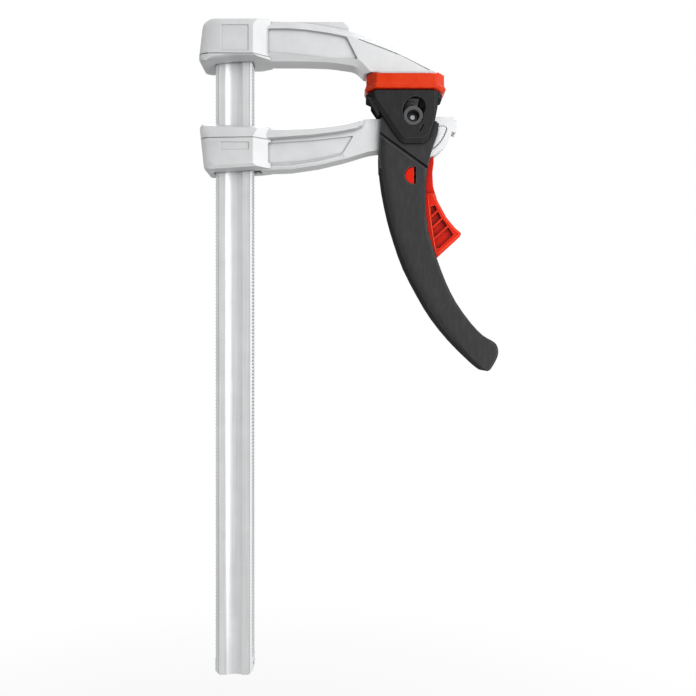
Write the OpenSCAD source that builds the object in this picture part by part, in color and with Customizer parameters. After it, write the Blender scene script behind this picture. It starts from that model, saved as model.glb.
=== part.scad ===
// Quick release lever clamp, modelled with its jaws closed and its lever down.
// The origin is the centre of the fixed clamping face. X points away from the rail,
// Z points up the rail, and Y is square to the broad faces of the rail.

/* [Clamp] */
// Distance from the rail to the centre of the clamping faces
throat = 80; // [60:1:120]
// Length of rail below the fixed clamping face
rail_below = 305; // [240:5:500]
// Angle through which the lever lifts
lever_sweep = 40; // [25:1:40]
// Height that the lever gives to the moving clamping face
plate_lift = 3; // [2:0.1:3]

/* [Rail] */
// Width of the rail across its broad face
rail_w = 19.5; // [17:0.5:22]
// Thickness of the rail
rail_t = 9.5; // [8:0.5:11]
// Width of the rolled groove in each broad face
groove_w = 9.2; // [6:0.2:11]
// Depth of the rolled groove
groove_d = 1.3; // [0.8:0.1:1.8]
// Pitch of the serrations along both edges
tooth_pitch = 1.8; // [1.4:0.1:3]
// Depth of the serrations
tooth_d = 0.5; // [0.3:0.05:0.7]
// Corner cut at the foot of the rail
rail_chamfer = 2.2; // [1:0.1:3]
// Diameter of the dowels that hold the fixed jaw
dowel_d = 5; // [4:0.5:6]

/* [Fixed jaw] */
// Height of the jaw's underside above the clamping face
jaw_under = 16.4; // [14:0.2:19]
// Height of the jaw casting on the rail
jaw_h = 21.2; // [19:0.2:26]
// Thickness of the thick head of both castings
head_t = 25; // [23:0.5:28]
// Thickness of the jaw arm across its flanges
jaw_t = 16; // [14:0.5:18]
// Depth of the panel in each face of the jaw arm
panel_d = 1.4; // [0.8:0.1:1.8]

/* [Pads] */
// Width of the pad cap
cap_w = 41; // [38:0.5:44]
// Depth of the pad cap
cap_t = 22.8; // [22:0.2:24]
// Height of the cap at its sides
cap_h = 9.7; // [8.5:0.1:11]
// Wall of the cap
cap_wall = 1.6; // [1.2:0.1:2]
// Thickness of the cap under the foot
cap_floor = 2.6; // [2:0.1:3.2]
// Width of the pressure plate
plate_w = 39.8; // [38:0.5:43]
// Thickness of the steel thrust plate
thrust_h = 1.1; // [0.8:0.05:1.4]

/* [Sliding arm] */
// Thickness of the web that passes between the lever cheeks
web_t = 10; // [9:0.2:10]
// Radius of the sector round the pivot
sector_r = 22; // [21:0.1:22]
// Pitch angle of the ratchet teeth
ratchet_pitch = 4.4; // [3.6:0.2:6]
// Depth of the ratchet teeth
ratchet_d = 1.2; // [0.8:0.1:1.6]
// Thickness of the toothed steel sector
ratchet_t = 3; // [2.4:0.1:3.2]
// Thickness of the bite plates in the window
bite_t = 4; // [3.5:0.1:5]
// Height of the bite plates
bite_h = 9; // [7:0.5:10]

/* [Lever] */
// Length of the lever from its pivot to its tip
lever_l = 132; // [120:1:150]
// Thickness of the lever across its grip
grip_t = 21; // [20:0.2:23]
// Thickness of each lever cheek
cheek_t = 3.5; // [3:0.1:3.6]
// Diameter of the pivot pin
pin_d = 6; // [5:0.1:6]
// Diameter of the boss ring on the lever cheeks
boss_d = 9.8; // [9.2:0.1:10]
// Wall of the grip behind the trigger
grip_wall = 3; // [2.5:0.1:3.5]

/* [Trigger] */
// Thickness of the trigger's paddle
paddle_t = 14.4; // [13:0.2:14.6]
// Width of the paddle's slanted ribs
rib_t = 1; // [0.6:0.1:1.4]
// Radius of the half-round trunnions
trunnion_r = 4.3; // [3.8:0.1:4.4]
// Wire diameter of the trigger spring
wire_d = 0.9; // [0.6:0.05:1]
// Number of curls in the trigger spring
curls = 5; // [4:1:6]
// Thickness of the pawl
pawl_t = 2.8; // [2.2:0.1:2.8]

/* [Clearances] */
// Gap between the two clamping faces when the jaws are closed
face_gap = 0.25; // [0.2:0.05:0.6]
// Running gap round the rail and beside the lever
run_gap = 0.3; // [0.25:0.05:0.4]
// Gap of a running pin in its bore, on the radius
pin_gap = 0.04; // [0.02:0.01:0.08]
// Gap round pieces that are pressed in
press_gap = 0.02; // [0.01:0.01:0.05]

/* [Hidden] */
fine = 48;
cut = 40;
big = 200;

// Places along X
rail_r = -throat;
rail_l = rail_r - rail_w;
rail_x = (rail_l + rail_r) / 2;
head_in = 1.2;
head_out = 5.7;
head_step = 8.4;
head_r = rail_r + head_in;
head_l = rail_l - head_out;
step_x = head_r + head_step;
reach = -head_r;

// Place of the lever pivot
pivot_x = 3.6;
pivot_z = -13.8;
pivot = [pivot_x, pivot_z];

// Cam: lift per radian of an involute over a circle of this radius
cam_base = plate_lift / (lever_sweep * PI / 180);
cam_top = 8.4;
cam_gap = 0.1;
thrust_under = pivot_z + cam_top + cam_gap;
slab_under = thrust_under + thrust_h;

// Layers along Y
web_half = web_t / 2;
cheek_in = web_half + run_gap;
cheek_out = cheek_in + cheek_t;
plate_in = cheek_out + run_gap;
plate_wall = 2.4;
plate_out = plate_in + plate_wall;
boss_out = plate_out - run_gap;
paddle_half = paddle_t / 2;
pocket_half = paddle_half + run_gap;
grip_half = grip_t / 2;

// Helpers for outlines
function at(a, b, share) = a + (b - a) * share;
function unit(v) = v / norm(v);
function left_of(v) = [-v[1], v[0]];
function xy(table) = [for (row = table) [row[0], row[1]]];
function column(table, k) = [for (row = table) row[k]];
function grown(table, size, origin) = [for (row = table) origin + size * [row[0], row[1]]];
function polar(r, a) = [r * cos(a), r * sin(a)];

// Each corner moves so that every side i shifts inward by d[i]
function corner_shift(n1, n2, d1, d2) = let (det = n1[0] * n2[1] - n1[1] * n2[0])
    abs(det) < 0.3 ? unit(n1 + n2) * (d1 + d2) / 2
    : [(d1 * n2[1] - d2 * n1[1]) / det, (n1[0] * d2 - n2[0] * d1) / det];
function inset(p, d) = let (n = len(p)) [for (i = [0:n - 1])
    let (a = p[(i + n - 1) % n], b = p[i], c = p[(i + 1) % n])
    b + corner_shift(left_of(unit(b - a)), left_of(unit(c - b)), d[(i + n - 1) % n], d[i])];

// Corners cut back by c[i], or by what their sides have room for, and blended in n steps
room_share = 0.46;
function blend(a, b, c, s) = a * (1 - s) * (1 - s) + b * 2 * s * (1 - s) + c * s * s;
function soften(p, c, n) = let (m = len(p)) [for (i = [0:m - 1])
    let (a = p[(i + m - 1) % m], b = p[i], d = p[(i + 1) % m],
        r = min(c[i], room_share * norm(a - b), room_share * norm(d - b)))
    each c[i] == 0 ? [b] : [for (k = [0:n]) blend(b + unit(a - b) * r, b, b + unit(d - b) * r, k / n)]];

// A smooth open curve through points of any dimension
function flow(a, b, c, d, s) = 0.5 * (2 * b + (c - a) * s + (2 * a - 5 * b + 4 * c - d) * s * s
    + (3 * b - a - 3 * c + d) * s * s * s);
function curve(p, n) = let (m = len(p)) concat([for (i = [0:m - 2]) for (k = [0:n - 1])
    flow(p[max(i - 1, 0)], p[i], p[i + 1], p[min(i + 2, m - 1)], k / n)], [p[m - 1]]);

// A flat outline cut into triangles, one ear at a time
function turn(a, b, c) = (b[0] - a[0]) * (c[1] - a[1]) - (b[1] - a[1]) * (c[0] - a[0]);
function holds(p, a, b, c) = turn(a, b, p) >= 0 && turn(b, c, p) >= 0 && turn(c, a, p) >= 0;
function is_ear(p, left, i) = let (n = len(left), a = left[(i + n - 1) % n], b = left[i],
    c = left[(i + 1) % n]) turn(p[a], p[b], p[c]) > 0
    && len([for (k = left) if (k != a && k != b && k != c && holds(p[k], p[a], p[b], p[c])) k]) == 0;
function next_ear(p, left, i = 0) = i >= len(left) - 1 || is_ear(p, left, i) ? i : next_ear(p, left, i + 1);
function ears(p, left) = len(left) <= 3 ? [left] : let (n = len(left), i = next_ear(p, left))
    concat([[left[(i + n - 1) % n], left[i], left[(i + 1) % n]]],
        ears(p, [for (k = [0:n - 1]) if (k != i) left[k]]));

// A closed skin through rings with equal numbers of points
function flatten(ring, flip) = [for (p = ring) flip ? [p[0], p[1]] : [p[0], p[2]]];
module skin(rings, flip = false) {
    n = len(rings[0]);
    m = len(rings);
    last = n * (m - 1);
    sides = [for (k = [0:m - 2]) for (i = [0:n - 1]) let (a = k * n + i, b = k * n + (i + 1) % n)
        each [[a, b, b + n], [a, b + n, a + n]]];
    all = [for (i = [0:n - 1]) i];
    first_cap = ears(flatten(rings[0], flip), all);
    last_cap = ears(flatten(rings[m - 1], flip), all);
    faces = concat(sides, [for (f = first_cap) [f[2], f[1], f[0]]],
        [for (f = last_cap) [for (i = f) i + last]]);
    polyhedron([for (ring = rings) each ring],
        flip ? [for (f = faces) [for (i = [len(f) - 1:-1:0]) f[i]]] : faces, convexity = 8);
}

// Rings across Y for an outline drawn in X and Z, and rings up Z for one drawn in X and Y
function ring_y(outline, y) = [for (p = outline) [p[0], y, p[1]]];
function ring_z(outline, z) = [for (p = outline) [p[0], p[1], z]];

// An outline in X and Z, pushed out to both sides of the middle plane
module slab_y(outline, half) {
    rotate([90, 0, 0]) translate([0, 0, -half]) linear_extrude(2 * half) polygon(outline);
}
module prism_y(outline, y0, y1) {
    translate([0, y1, 0]) rotate([90, 0, 0]) linear_extrude(y1 - y0) polygon(outline);
}
// What lies outside an outline's flat floor on both sides of the middle plane
module face_cut(outline, floor_y) {
    for (side = [-1, 1])
        prism_y(outline, side > 0 ? floor_y : -cut, side > 0 ? cut : -floor_y);
}
module rod_y(centre, r, y0, y1) {
    translate([centre[0], y1, centre[1]]) rotate([90, 0, 0]) cylinder(h = y1 - y0, r = r, $fn = fine);
}

// A moulded body: sides inset by their own bevel toward both faces, in n steps
module moulded(p, bevels, corners, half, depth, n) {
    steps = [for (k = [0:n]) 90 * k / n];
    front = [for (k = [n:-1:0]) [-half + depth * (1 - sin(steps[k])), 1 - cos(steps[k])]];
    back = [for (k = [0:n]) [half - depth * (1 - sin(steps[k])), 1 - cos(steps[k])]];
    skin([for (s = concat(front, back)) ring_y(soften(inset(p, bevels * s[1]), corners, 4), s[0])]);
}

// Rail

socket_roof = 4.6;
rail_top = jaw_under + jaw_h - socket_roof;
rail_foot = -rail_below;
tooth_start = rail_foot + 4 * rail_chamfer;
tooth_count = floor((jaw_under + jaw_h / 4 - tooth_start) / tooth_pitch);
nib_r = 1.1;
nib_up = 3.2;
nib_sink = 0.6;
groove_r = (groove_w * groove_w / 4 + groove_d * groove_d) / (2 * groove_d);

module rail() {
    right = [for (i = [0:tooth_count - 1]) each [
        [rail_r, tooth_start + i * tooth_pitch],
        [rail_r - tooth_d, tooth_start + (i + 0.5) * tooth_pitch]]];
    left = [for (i = [tooth_count - 1:-1:0]) each [
        [rail_l + tooth_d, tooth_start + (i + 0.5) * tooth_pitch],
        [rail_l, tooth_start + i * tooth_pitch]]];
    outline = concat([[rail_l + rail_chamfer, rail_foot], [rail_r - rail_chamfer, rail_foot],
        [rail_r, rail_foot + rail_chamfer]], right, [[rail_r, tooth_start + tooth_count * tooth_pitch],
        [rail_r, rail_top], [rail_l, rail_top], [rail_l, tooth_start + tooth_count * tooth_pitch]],
        left, [[rail_l, rail_foot + rail_chamfer]]);
    color([0.76, 0.77, 0.78]) difference() {
        union() {
            slab_y(outline, rail_t / 2);
            for (x = [rail_l + nib_sink, rail_r - nib_sink])
                rod_y([x, rail_foot + rail_chamfer + nib_up], nib_r, -rail_t / 4, rail_t / 4);
        }
        for (side = [-1, 1])
            translate([rail_x, side * (rail_t / 2 - groove_d + groove_r), rail_foot - cut])
                cylinder(h = rail_below + rail_top + 2 * cut, r = groove_r, $fn = fine);
        for (c = dowel_places)
            rod_y(c, dowel_d / 2 + press_gap, -cut, cut);
    }
}

// Fixed jaw

jaw_top = jaw_under + jaw_h;
head_lean = 2.75;
head_low = 1.65;
head_z = jaw_under - jaw_h * 0.132;
crease_w = 0.5;
crease_d = 0.35;
crease_up = 1.3;
jaw_crease = jaw_under + crease_up;
recess_d = 0.3;
recess_round = 0.6;
jaw_recess_shares = [[0.217, 0.137], [0.935, 0.137], [0.935, 0.764], [0.217, 0.764]];
flange_top = 4.6;
flange_low = 2.9;
flange_in = 3;
head_bevel = 4.9;
head_bevel_in = 5;
head_cut = 4;
foot_gap = 0.1;
foot_x = cap_w / 2 - cap_wall - foot_gap;
foot_y = cap_t / 2 - cap_wall - foot_gap;
rim_gap = 0.5;
foot_top = cap_h - rim_gap;
corner_x = 5.2;
corner_y = 6.7;
nose_l = -cap_w / 2 + rim_gap;
nose_r = cap_w / 2 - 6 * rim_gap;
tip_z = 11.2;
dowel_places = [[rail_x - rail_w / 5, at(jaw_under, jaw_top, 0.28)],
    [rail_x + rail_w / 5, at(jaw_under, jaw_top, 0.62)]];
dowel_sink = 2.6;
dowel_front = -rail_t / 2 - dowel_sink;

// Shares of the reach from the head to the middle of the cap, and of the casting's height
jaw_low_shares = [[-0.1, 0.03], [0.107, 0], [0.334, 0], [0.5, -0.02], [0.67, -0.11]];
jaw_top_shares = [[0.89, 0.39], [0.626, 0.764], [0.5, 0.858], [0.4, 0.915], [0.28, 0.97], [0.01, 1],
                  [-0.22, 1]];
panel_shares = [[0.09, 0.165], [0.4, 0.09], [0.5, 0.055], [0.684, 0.01], [0.61, 0.555], [0.5, 0.645],
                [0.345, 0.73], [0.227, 0.76], [0.09, 0.76]];
nose_line_shares = [[0.692, 0.491], [0.968, 0.101], [1.16, -0.267]];
function jaw_place(row) = [at(head_r, 0, row[0]), jaw_under + jaw_h * row[1]];

// The head with its left side and both faces drawn in by less
module jaw_head(less) {
    p = [[head_l - head_lean + less, head_z], [rail_l + rail_w / 2, jaw_under - jaw_h * 0.005],
         [step_x, jaw_under + jaw_h * 0.01], [step_x, jaw_top], [head_l + less, jaw_top]];
    intersection() {
        moulded(p, [head_low, head_low, 0, flange_top, head_bevel],
            head_cut * [1, 0.5, 0, 0, 1.4], head_t / 2 - less, head_bevel_in, 2);
        plan_prism(head_z - cut, jaw_top + cut, less);
    }
}

// A narrow band across a head, from a height at its left to a height at the step
module crease_band(z0, z1) {
    slab_y([[head_l - cut, z0], [step_x, z1], [step_x, z1 + crease_w], [head_l - cut, z0 + crease_w]], cut);
}

// Plan of the heads: full thickness at the rail, drawn in to the arm at the step
module plan_prism(z0, z1, less) {
    outer = head_l - cut;
    thick = head_t / 2 - less;
    thin = jaw_t / 2 - panel_d - less;
    translate([0, 0, z0]) linear_extrude(z1 - z0)
        polygon([[outer, -thick], [head_r, -thick], [step_x, -thin], [step_x, thin], [head_r, thick],
            [outer, thick]]);
}

module fixed_jaw() {
    low = [for (row = jaw_low_shares) jaw_place(row)];
    top = [for (row = jaw_top_shares) jaw_place(row)];
    p = concat(low, [[nose_l, 0.8 * cap_h], [0.88 * nose_l, 1.4 * cap_floor],
        [0.96 * nose_r, 1.4 * cap_floor], [nose_r, tip_z]], top);
    bevels = concat(flange_low * [1, 1, 1, 1, 1, 1, 0, 0.2], flange_top * [0.5, 0.7, 0.9, 1, 1, 1, 1, 0]);
    corners = head_cut * [0, 1, 1, 1, 0.75, 0.25, 0, 0, 0.3, 1.2, 1.2, 0.75, 0.75, 0.75, 0, 0];
    color([0.84, 0.85, 0.86]) difference() {
        union() {
            difference() {
                union() {
                    moulded(p, bevels, corners, jaw_t / 2, flange_in, 1);
                    difference() {
                        jaw_head(0);
                        difference() {
                            crease_band(jaw_crease, jaw_crease);
                            jaw_head(crease_d);
                        }
                    }
                    jaw_rib();
                }
                jaw_panels();
                nose_line();
                head_recess(jaw_recess_shares, jaw_under, jaw_h);
                cap_room();
            }
            foot();
        }
        translate([rail_l - press_gap, -rail_t / 2 - press_gap, -cut])
            cube([rail_w + 2 * press_gap, rail_t + 2 * press_gap, cut + rail_top + press_gap]);
        for (c = dowel_places)
            rod_y(c, dowel_d / 2 + press_gap, dowel_front - press_gap, cut);
    }
}

// The rib that carries the head's top line out over the arm
rib_half = 3.7;
module jaw_rib() {
    slab_y([[head_r, at(jaw_under, jaw_top, 0.8)], [at(head_r, 0, 0.62), at(jaw_under, jaw_top, 0.7)],
        [at(head_r, 0, 0.627), at(jaw_under, jaw_top, 0.85)], [at(head_r, 0, 0.59), jaw_top],
        [head_r, jaw_top]], rib_half);
}

// The crease that runs down the nose on both faces
module nose_line() {
    way = [for (row = nose_line_shares) jaw_place(row)];
    low = [for (p = way) p - [0, crease_w / 2]];
    high = [for (i = [len(way) - 1:-1:0]) way[i] + [0, crease_w / 2]];
    face_cut(concat(low, high), jaw_t / 2 - crease_d);
}

module jaw_panels() {
    outline = soften([for (row = panel_shares) jaw_place(row)],
        head_cut / 5 * [1, 0, 0, 1, 1, 0, 0, 0, 1], 3);
    face_cut(outline, jaw_t / 2 - panel_d);
}

// A plain shallow recess in both faces of a head, in shares of the rail's width and a height
module head_recess(shares, z, size) {
    outline = [for (row = shares) [rail_l + rail_w * row[0], z + size * row[1]]];
    face_cut(soften(outline, [for (row = shares) recess_round], 2), head_t / 2 - recess_d);
}

// Plan outline with four corners cut off
function octagon(a, b, cx, cy, x = 0) = [[x - a, -b + cy], [x - a + cx, -b], [x + a - cx, -b],
    [x + a, -b + cy], [x + a, b - cy], [x + a - cx, b], [x - a + cx, b], [x - a, b - cy]];

// Everything round the foot that the cap takes up
module cap_room() {
    difference() {
        translate([-cap_w, -cap_t, -cut]) cube([cap_w * 2, cap_t * 2, cut + cap_h + foot_gap]);
        translate([0, 0, -cut]) linear_extrude(cut * 2)
            polygon(octagon(foot_x - run_gap, foot_y - run_gap, corner_x, corner_y));
    }
}

module foot() {
    translate([0, 0, cap_floor + press_gap]) linear_extrude(foot_top - cap_floor - press_gap)
        polygon(octagon(foot_x, foot_y, corner_x, corner_y));
}

module jaw_dowel_pins() {
    color([0.68, 0.69, 0.71])
    for (c = dowel_places)
        rod_y(c, dowel_d / 2, dowel_front, head_t / 2 - rim_gap);
}

// Cap

lip_out = 0.8;
lip_z = 1.7;
rim_drop = 1.8;
module fixed_jaw_cap() {
    a = cap_w / 2;
    b = cap_t / 2;
    rows = [[0, -lip_out], [lip_z * 0.3, lip_out * 0.4], [lip_z, lip_out], [lip_z * 1.6, lip_out * 0.5],
            [lip_z * 2.2, 0], [cap_h - lip_out, 0], [cap_h, -rim_gap]];
    color([0.90, 0.20, 0.11]) difference() {
        intersection() {
            skin([for (row = rows) ring_z(soften(octagon(a + row[1], b + row[1], corner_x, corner_y),
                [for (i = [0:7]) lip_out], 2), row[0])], flip = true);
            rotate([90, 0, 90]) translate([0, 0, -cut]) linear_extrude(2 * cut) polygon([
                [-b - corner_y, -cap_h], [b + corner_y, -cap_h], [b + corner_y, cap_h - 3 * rim_drop],
                [b, cap_h - rim_drop], [b - corner_y / 2, cap_h],
                [-b + corner_y / 2, cap_h], [-b, cap_h - rim_drop], [-b - corner_y, cap_h - 3 * rim_drop]]);
        }
        translate([0, 0, cap_floor]) linear_extrude(cut)
            polygon(octagon(foot_x + foot_gap / 2, foot_y + foot_gap / 2, corner_x, corner_y));
    }
}

// Sliding arm

arm_top = -18.7;
arm_low = -42.1;
arm_rise = 2.1;
arm_neck = -13.8;
arm_neck_low = -29.4;
arm_lean_low = 0.4;
arm_lean_top = 2.3;
arm_lip = 3;
arm_lip_in = 2.4;
panel_arm_d = 0.7;
boss_wall = 1.3;
bush_t = 0.8;
bush_r = pin_d / 2 + pin_gap + bush_t;
window_gap = 0.8;
bead_t = 12.4;
arm_head_top = -16.9;
slot_half = ratchet_t / 2 + press_gap * 5;
ratchet_in = sector_r / 2;
ratchet_sink = 0.8;
ratchet_out = sector_r - ratchet_sink;
rivet_d = 2.6;
rivet_in = 3.5;
rivet_places = [pivot + polar(ratchet_in + rivet_in, -30), pivot + polar(ratchet_in + rivet_in, -60)];

// Shares of the reach, with heights down from the neck's top in shares of the neck's height
neck_h = 19;
arm_low_shares = [[-0.15, -1.42], [0.01, -1.415], [0.24, -1.38], [0.42, -1.27], [0.59, -1.103],
                  [0.76, -0.885]];
arm_top_shares = [[0.73, 0], [0.637, -0.105], [0.548, -0.18], [0.37, -0.258], [0.19, -0.284],
                  [0.01, -0.258], [-0.15, -0.2]];
flange_under_shares = [[0.715, -0.215], [0.67, -0.31], [0.55, -0.405], [0.37, -0.495], [0.11, -0.57],
                       [-0.15, -0.6]];
arm_panel_shares = [[0.09, -1.235], [0.29, -1.185], [0.44, -1.09], [0.584, -0.945], [0.655, -0.46],
                    [0.38, -0.585], [0.09, -0.66]];
arm_crease_l = -26.45;
arm_crease_r = -25.3;
arm_recess_shares = [[0.195, -0.94], [0.95, -0.94], [0.95, -0.727], [0.195, -0.727]];
function arm_place(row) = [at(head_r, 0, row[0]), arm_neck + neck_h * row[1]];

sector_rise = 1.4;
rim_step = 1;
module sector_shape(r) {
    intersection() {
        rod_y(pivot, r, -web_half, web_half);
        slab_y([pivot + [-sector_r * 0.46, -sector_r * 0.87], pivot + [-sector_r * 0.2, -cut],
            pivot + [cut, -cut], pivot + [cut, sector_rise], pivot + [-sector_r * 0.46, sector_rise]], cut);
    }
}

// Horn at the upper end of the sector, with the hook that stops the trigger
horn_shares = [[0.6, 0.045], [0.977, 0.045], [1.065, -0.032], [1.065, -0.28], [1.035, -0.32], [0.945, -0.27],
               [0.82, -0.27], [0.6, -0.15]];
module horn() {
    slab_y([for (i = [7:-1:0]) pivot + sector_r * horn_shares[i]], web_half - rim_step);
}

module arm_head(less) {
    p = [[head_l + arm_lean_low + less, arm_low], [step_x, arm_low + arm_rise], [step_x, arm_top],
        [head_l - arm_lean_top + less, arm_head_top]];
    intersection() {
        moulded(p, head_bevel * [0.4, 0, 1.3, 0.8], head_cut * [0.7, 0, 0, 1], head_t / 2 - less,
            head_bevel_in, 2);
        plan_prism(arm_low - cut, arm_head_top + cut, less);
    }
}

module sliding_arm() {
    low = [for (row = arm_low_shares) arm_place(row)];
    top = [for (row = arm_top_shares) arm_place(row)];
    under = [for (i = [len(flange_under_shares) - 1:-1:0]) arm_place(flange_under_shares[i])];
    neck_end = [[pivot_x - sector_r * 0.44, arm_neck_low], [pivot_x, pivot_z - sector_r * 0.6], pivot,
        [pivot_x - boss_d * 0.2, arm_neck + boss_d * 0.3], [pivot_x - sector_r * 0.4, arm_neck]];
    flange = concat(under, top);
    color([0.84, 0.85, 0.86]) difference() {
        union() {
            slab_y(soften(concat(low, neck_end, top), head_cut * concat([0, 1, 1, 1, 1, 1],
                [0, 0, 0, 0, 0], [1, 0.75, 0.75, 1, 1, 0, 0]), 4), web_half);
            moulded(flange, arm_lip * [0.15, 0.15, 0.15, 0.15, 0.15, 0.15, 1, 1, 1, 1, 1, 1, 0],
                head_cut * [0, 0.5, 0.5, 0.5, 0.25, 0, 0.25, 0.5, 0.5, 0.5, 0.5, 0, 0],
                jaw_t / 2, arm_lip_in, 2);
            arm_bead();
            difference() {
                arm_head(0);
                difference() {
                    crease_band(arm_crease_l, arm_crease_r);
                    arm_head(crease_d);
                }
            }
            sector_shape(sector_r);
            horn();
            rod_y(pivot, bush_r + boss_wall, -web_half, web_half);
        }
        arm_panels();
        head_recess(arm_recess_shares, arm_neck, neck_h);
        sector_step();
        rail_window();
        ratchet_slot();
        rod_y(pivot, bush_r + press_gap, -cut, cut);
        for (c = rivet_places)
            rod_y(c, rivet_d / 2 + press_gap, -cut, cut);
        for (c = bite_pins)
            rod_y(c, bite_pin_d / 2 + press_gap, -bite_half - bite_pin_d - press_gap, cut);
    }
}

// Low bead along the arm's lower edge
module arm_bead() {
    low = [for (row = arm_low_shares) arm_place(row)];
    rise = neck_h * 0.12;
    p = concat([for (i = [0:4]) low[i]], [for (i = [4:-1:0]) low[i] + [0, rise]]);
    edge = (bead_t - web_t) / 2;
    moulded(p, edge * [1, 1, 1, 1, 0.2, 0.4, 0.4, 0.4, 0.4, 0], [for (i = [0:9]) 0], bead_t / 2, edge, 1);
}

module arm_panels() {
    outline = soften([for (row = arm_panel_shares) arm_place(row)],
        head_cut / 5 * [1, 0, 0, 1, 1, 0, 1], 3);
    face_cut(outline, web_half - panel_arm_d);
}

// The rim of the sector stands back from the web on both sides, behind a narrow groove
web_edge_share = 0.84;
web_corner_shares = [[0.793, -0.187], [0.76, -0.173], [-0.3, -0.173]];
rim_groove_w = 0.6;
rim_groove_d = 0.6;
module web_end(more) {
    edge = concat([for (a = [-110:5:-15]) polar(web_edge_share, a)], web_corner_shares);
    slab_y([for (p = inset(grown(edge, sector_r, pivot), [for (p = edge) -more])) p], 2 * cut);
}
module sector_step() {
    right = pivot_x + sector_r * 0.2;
    beyond = [[right, -big], [big, -big], [big, cut], [right, cut]];
    difference() {
        face_cut(beyond, web_half - rim_step);
        web_end(0);
    }
    difference() {
        intersection() {
            face_cut(beyond, web_half - rim_step - rim_groove_d);
            web_end(rim_groove_w);
        }
        web_end(0);
    }
}

// Window for the rail, with a seat for each bite plate
bite_half = rail_t / 2;
bite_sink = 1;
bite_top = arm_head_top - bite_sink;
bite_low = arm_low + arm_rise + bite_sink;
module rail_window() {
    wide = rail_w + 2 * window_gap;
    deep = rail_t + 2 * run_gap;
    translate([rail_l - window_gap, -deep / 2, -cut * 2]) cube([wide, deep, cut * 2]);
    translate([rail_l - run_gap - bite_t - press_gap, -bite_half - press_gap, bite_top - bite_h - press_gap])
        cube([bite_t + run_gap + cut / 20, 2 * (bite_half + press_gap), cut]);
    translate([rail_r + run_gap - cut / 20, -bite_half - press_gap, -cut * 2])
        cube([bite_t + cut / 20 + press_gap, 2 * (bite_half + press_gap),
            cut * 2 + bite_low + bite_h + press_gap]);
}

bite_pin_d = 2;
bite_pins = [[rail_l - run_gap - bite_t / 2, bite_top - bite_h / 2],
    [rail_r + run_gap + bite_t / 2, bite_low + bite_h / 2]];
module bite_plate(x0, z0, c) {
    difference() {
        translate([x0, -bite_half, z0]) cube([bite_t, 2 * bite_half, bite_h]);
        rod_y(c, bite_pin_d / 2 + press_gap, -cut, cut);
    }
}
module upper_grip_plate() {
    color([0.55, 0.56, 0.58]) bite_plate(rail_l - run_gap - bite_t, bite_top - bite_h, bite_pins[0]);
}
module lower_grip_plate() {
    color([0.55, 0.56, 0.58]) bite_plate(rail_r + run_gap, bite_low, bite_pins[1]);
}
module grip_plate_pins() {
    color([0.68, 0.69, 0.71])
    for (c = bite_pins)
        rod_y(c, bite_pin_d / 2, -bite_half - bite_pin_d, head_t / 2 - bite_pin_d);
}

// Slot between the two rims of the sector
module ratchet_slot() {
    intersection() {
        difference() {
            rod_y(pivot, sector_r * 2, -slot_half, slot_half);
            rod_y(pivot, ratchet_in - press_gap, -cut, cut);
        }
        slab_y([pivot, pivot + polar(big, -80), pivot + polar(big, -45), pivot + polar(big, -14)], cut);
    }
}

module ratchet_sector() {
    first = -74;
    count = floor(55 / ratchet_pitch);
    teeth = [for (i = [0:count - 1]) each [polar(ratchet_out, first + i * ratchet_pitch),
        polar(ratchet_out - ratchet_d, first + (i + 0.12) * ratchet_pitch)]];
    last = first + count * ratchet_pitch;
    outline = concat([polar(ratchet_in / 2, first - 1)], teeth,
        [polar(ratchet_out - ratchet_d, last), polar(ratchet_in / 2, last)]);
    color([0.60, 0.61, 0.63]) difference() {
        slab_y([for (p = outline) pivot + p], ratchet_t / 2);
        rod_y(pivot, ratchet_in, -cut, cut);
        for (c = rivet_places)
            rod_y(c, rivet_d / 2 + press_gap, -cut, cut);
    }
}

module sector_rivets() {
    color([0.68, 0.69, 0.71])
    for (c = rivet_places)
        rod_y(c, rivet_d / 2, -web_half, web_half);
}

module pivot_bush() {
    color([0.62, 0.56, 0.44]) difference() {
        rod_y(pivot, bush_r, -web_half, web_half);
        rod_y(pivot, pin_d / 2 + pin_gap, -cut, cut);
    }
}

// Lever

// Involute cam: the support height falls evenly as the lever lifts
function cam_point(a) = let (h = cam_top - cam_base * (90 - a) * PI / 180)
    [h * cos(a) - cam_base * sin(a), h * sin(a) + cam_base * cos(a)];

// Cheek outline about the pivot in shares of the cam's top
cheek_low_shares = [[-1.976, -0.095], [-2.02, -0.8], [-2.07, -2.24], [-2.05, -3.1], [-1.2, -3.6], [0.5, -3.8],
                    [0.95, -3.1], [1.05, -2.5], [1.226, -1.92], [1.548, -1.05], [1.63, -0.42], [1.5, -0.31],
                    [1.286, -0.19]];
cheek_top_shares = [[-0.667, 0.982], [-0.88, 0.88], [-1.12, 0.667], [-1.43, 0.357]];
module cheek(y0, y1) {
    boss = [for (a = [5:15:65]) polar(boss_d / 2 + run_gap, a)];
    cam = [for (a = [15:7.5:90]) cam_point(a)];
    low = [for (row = cheek_low_shares) cam_top * row];
    top = [for (row = cheek_top_shares) cam_top * row];
    prism_y([for (q = concat(low, boss, cam, top)) pivot + q], y0, y1);
}

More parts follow.
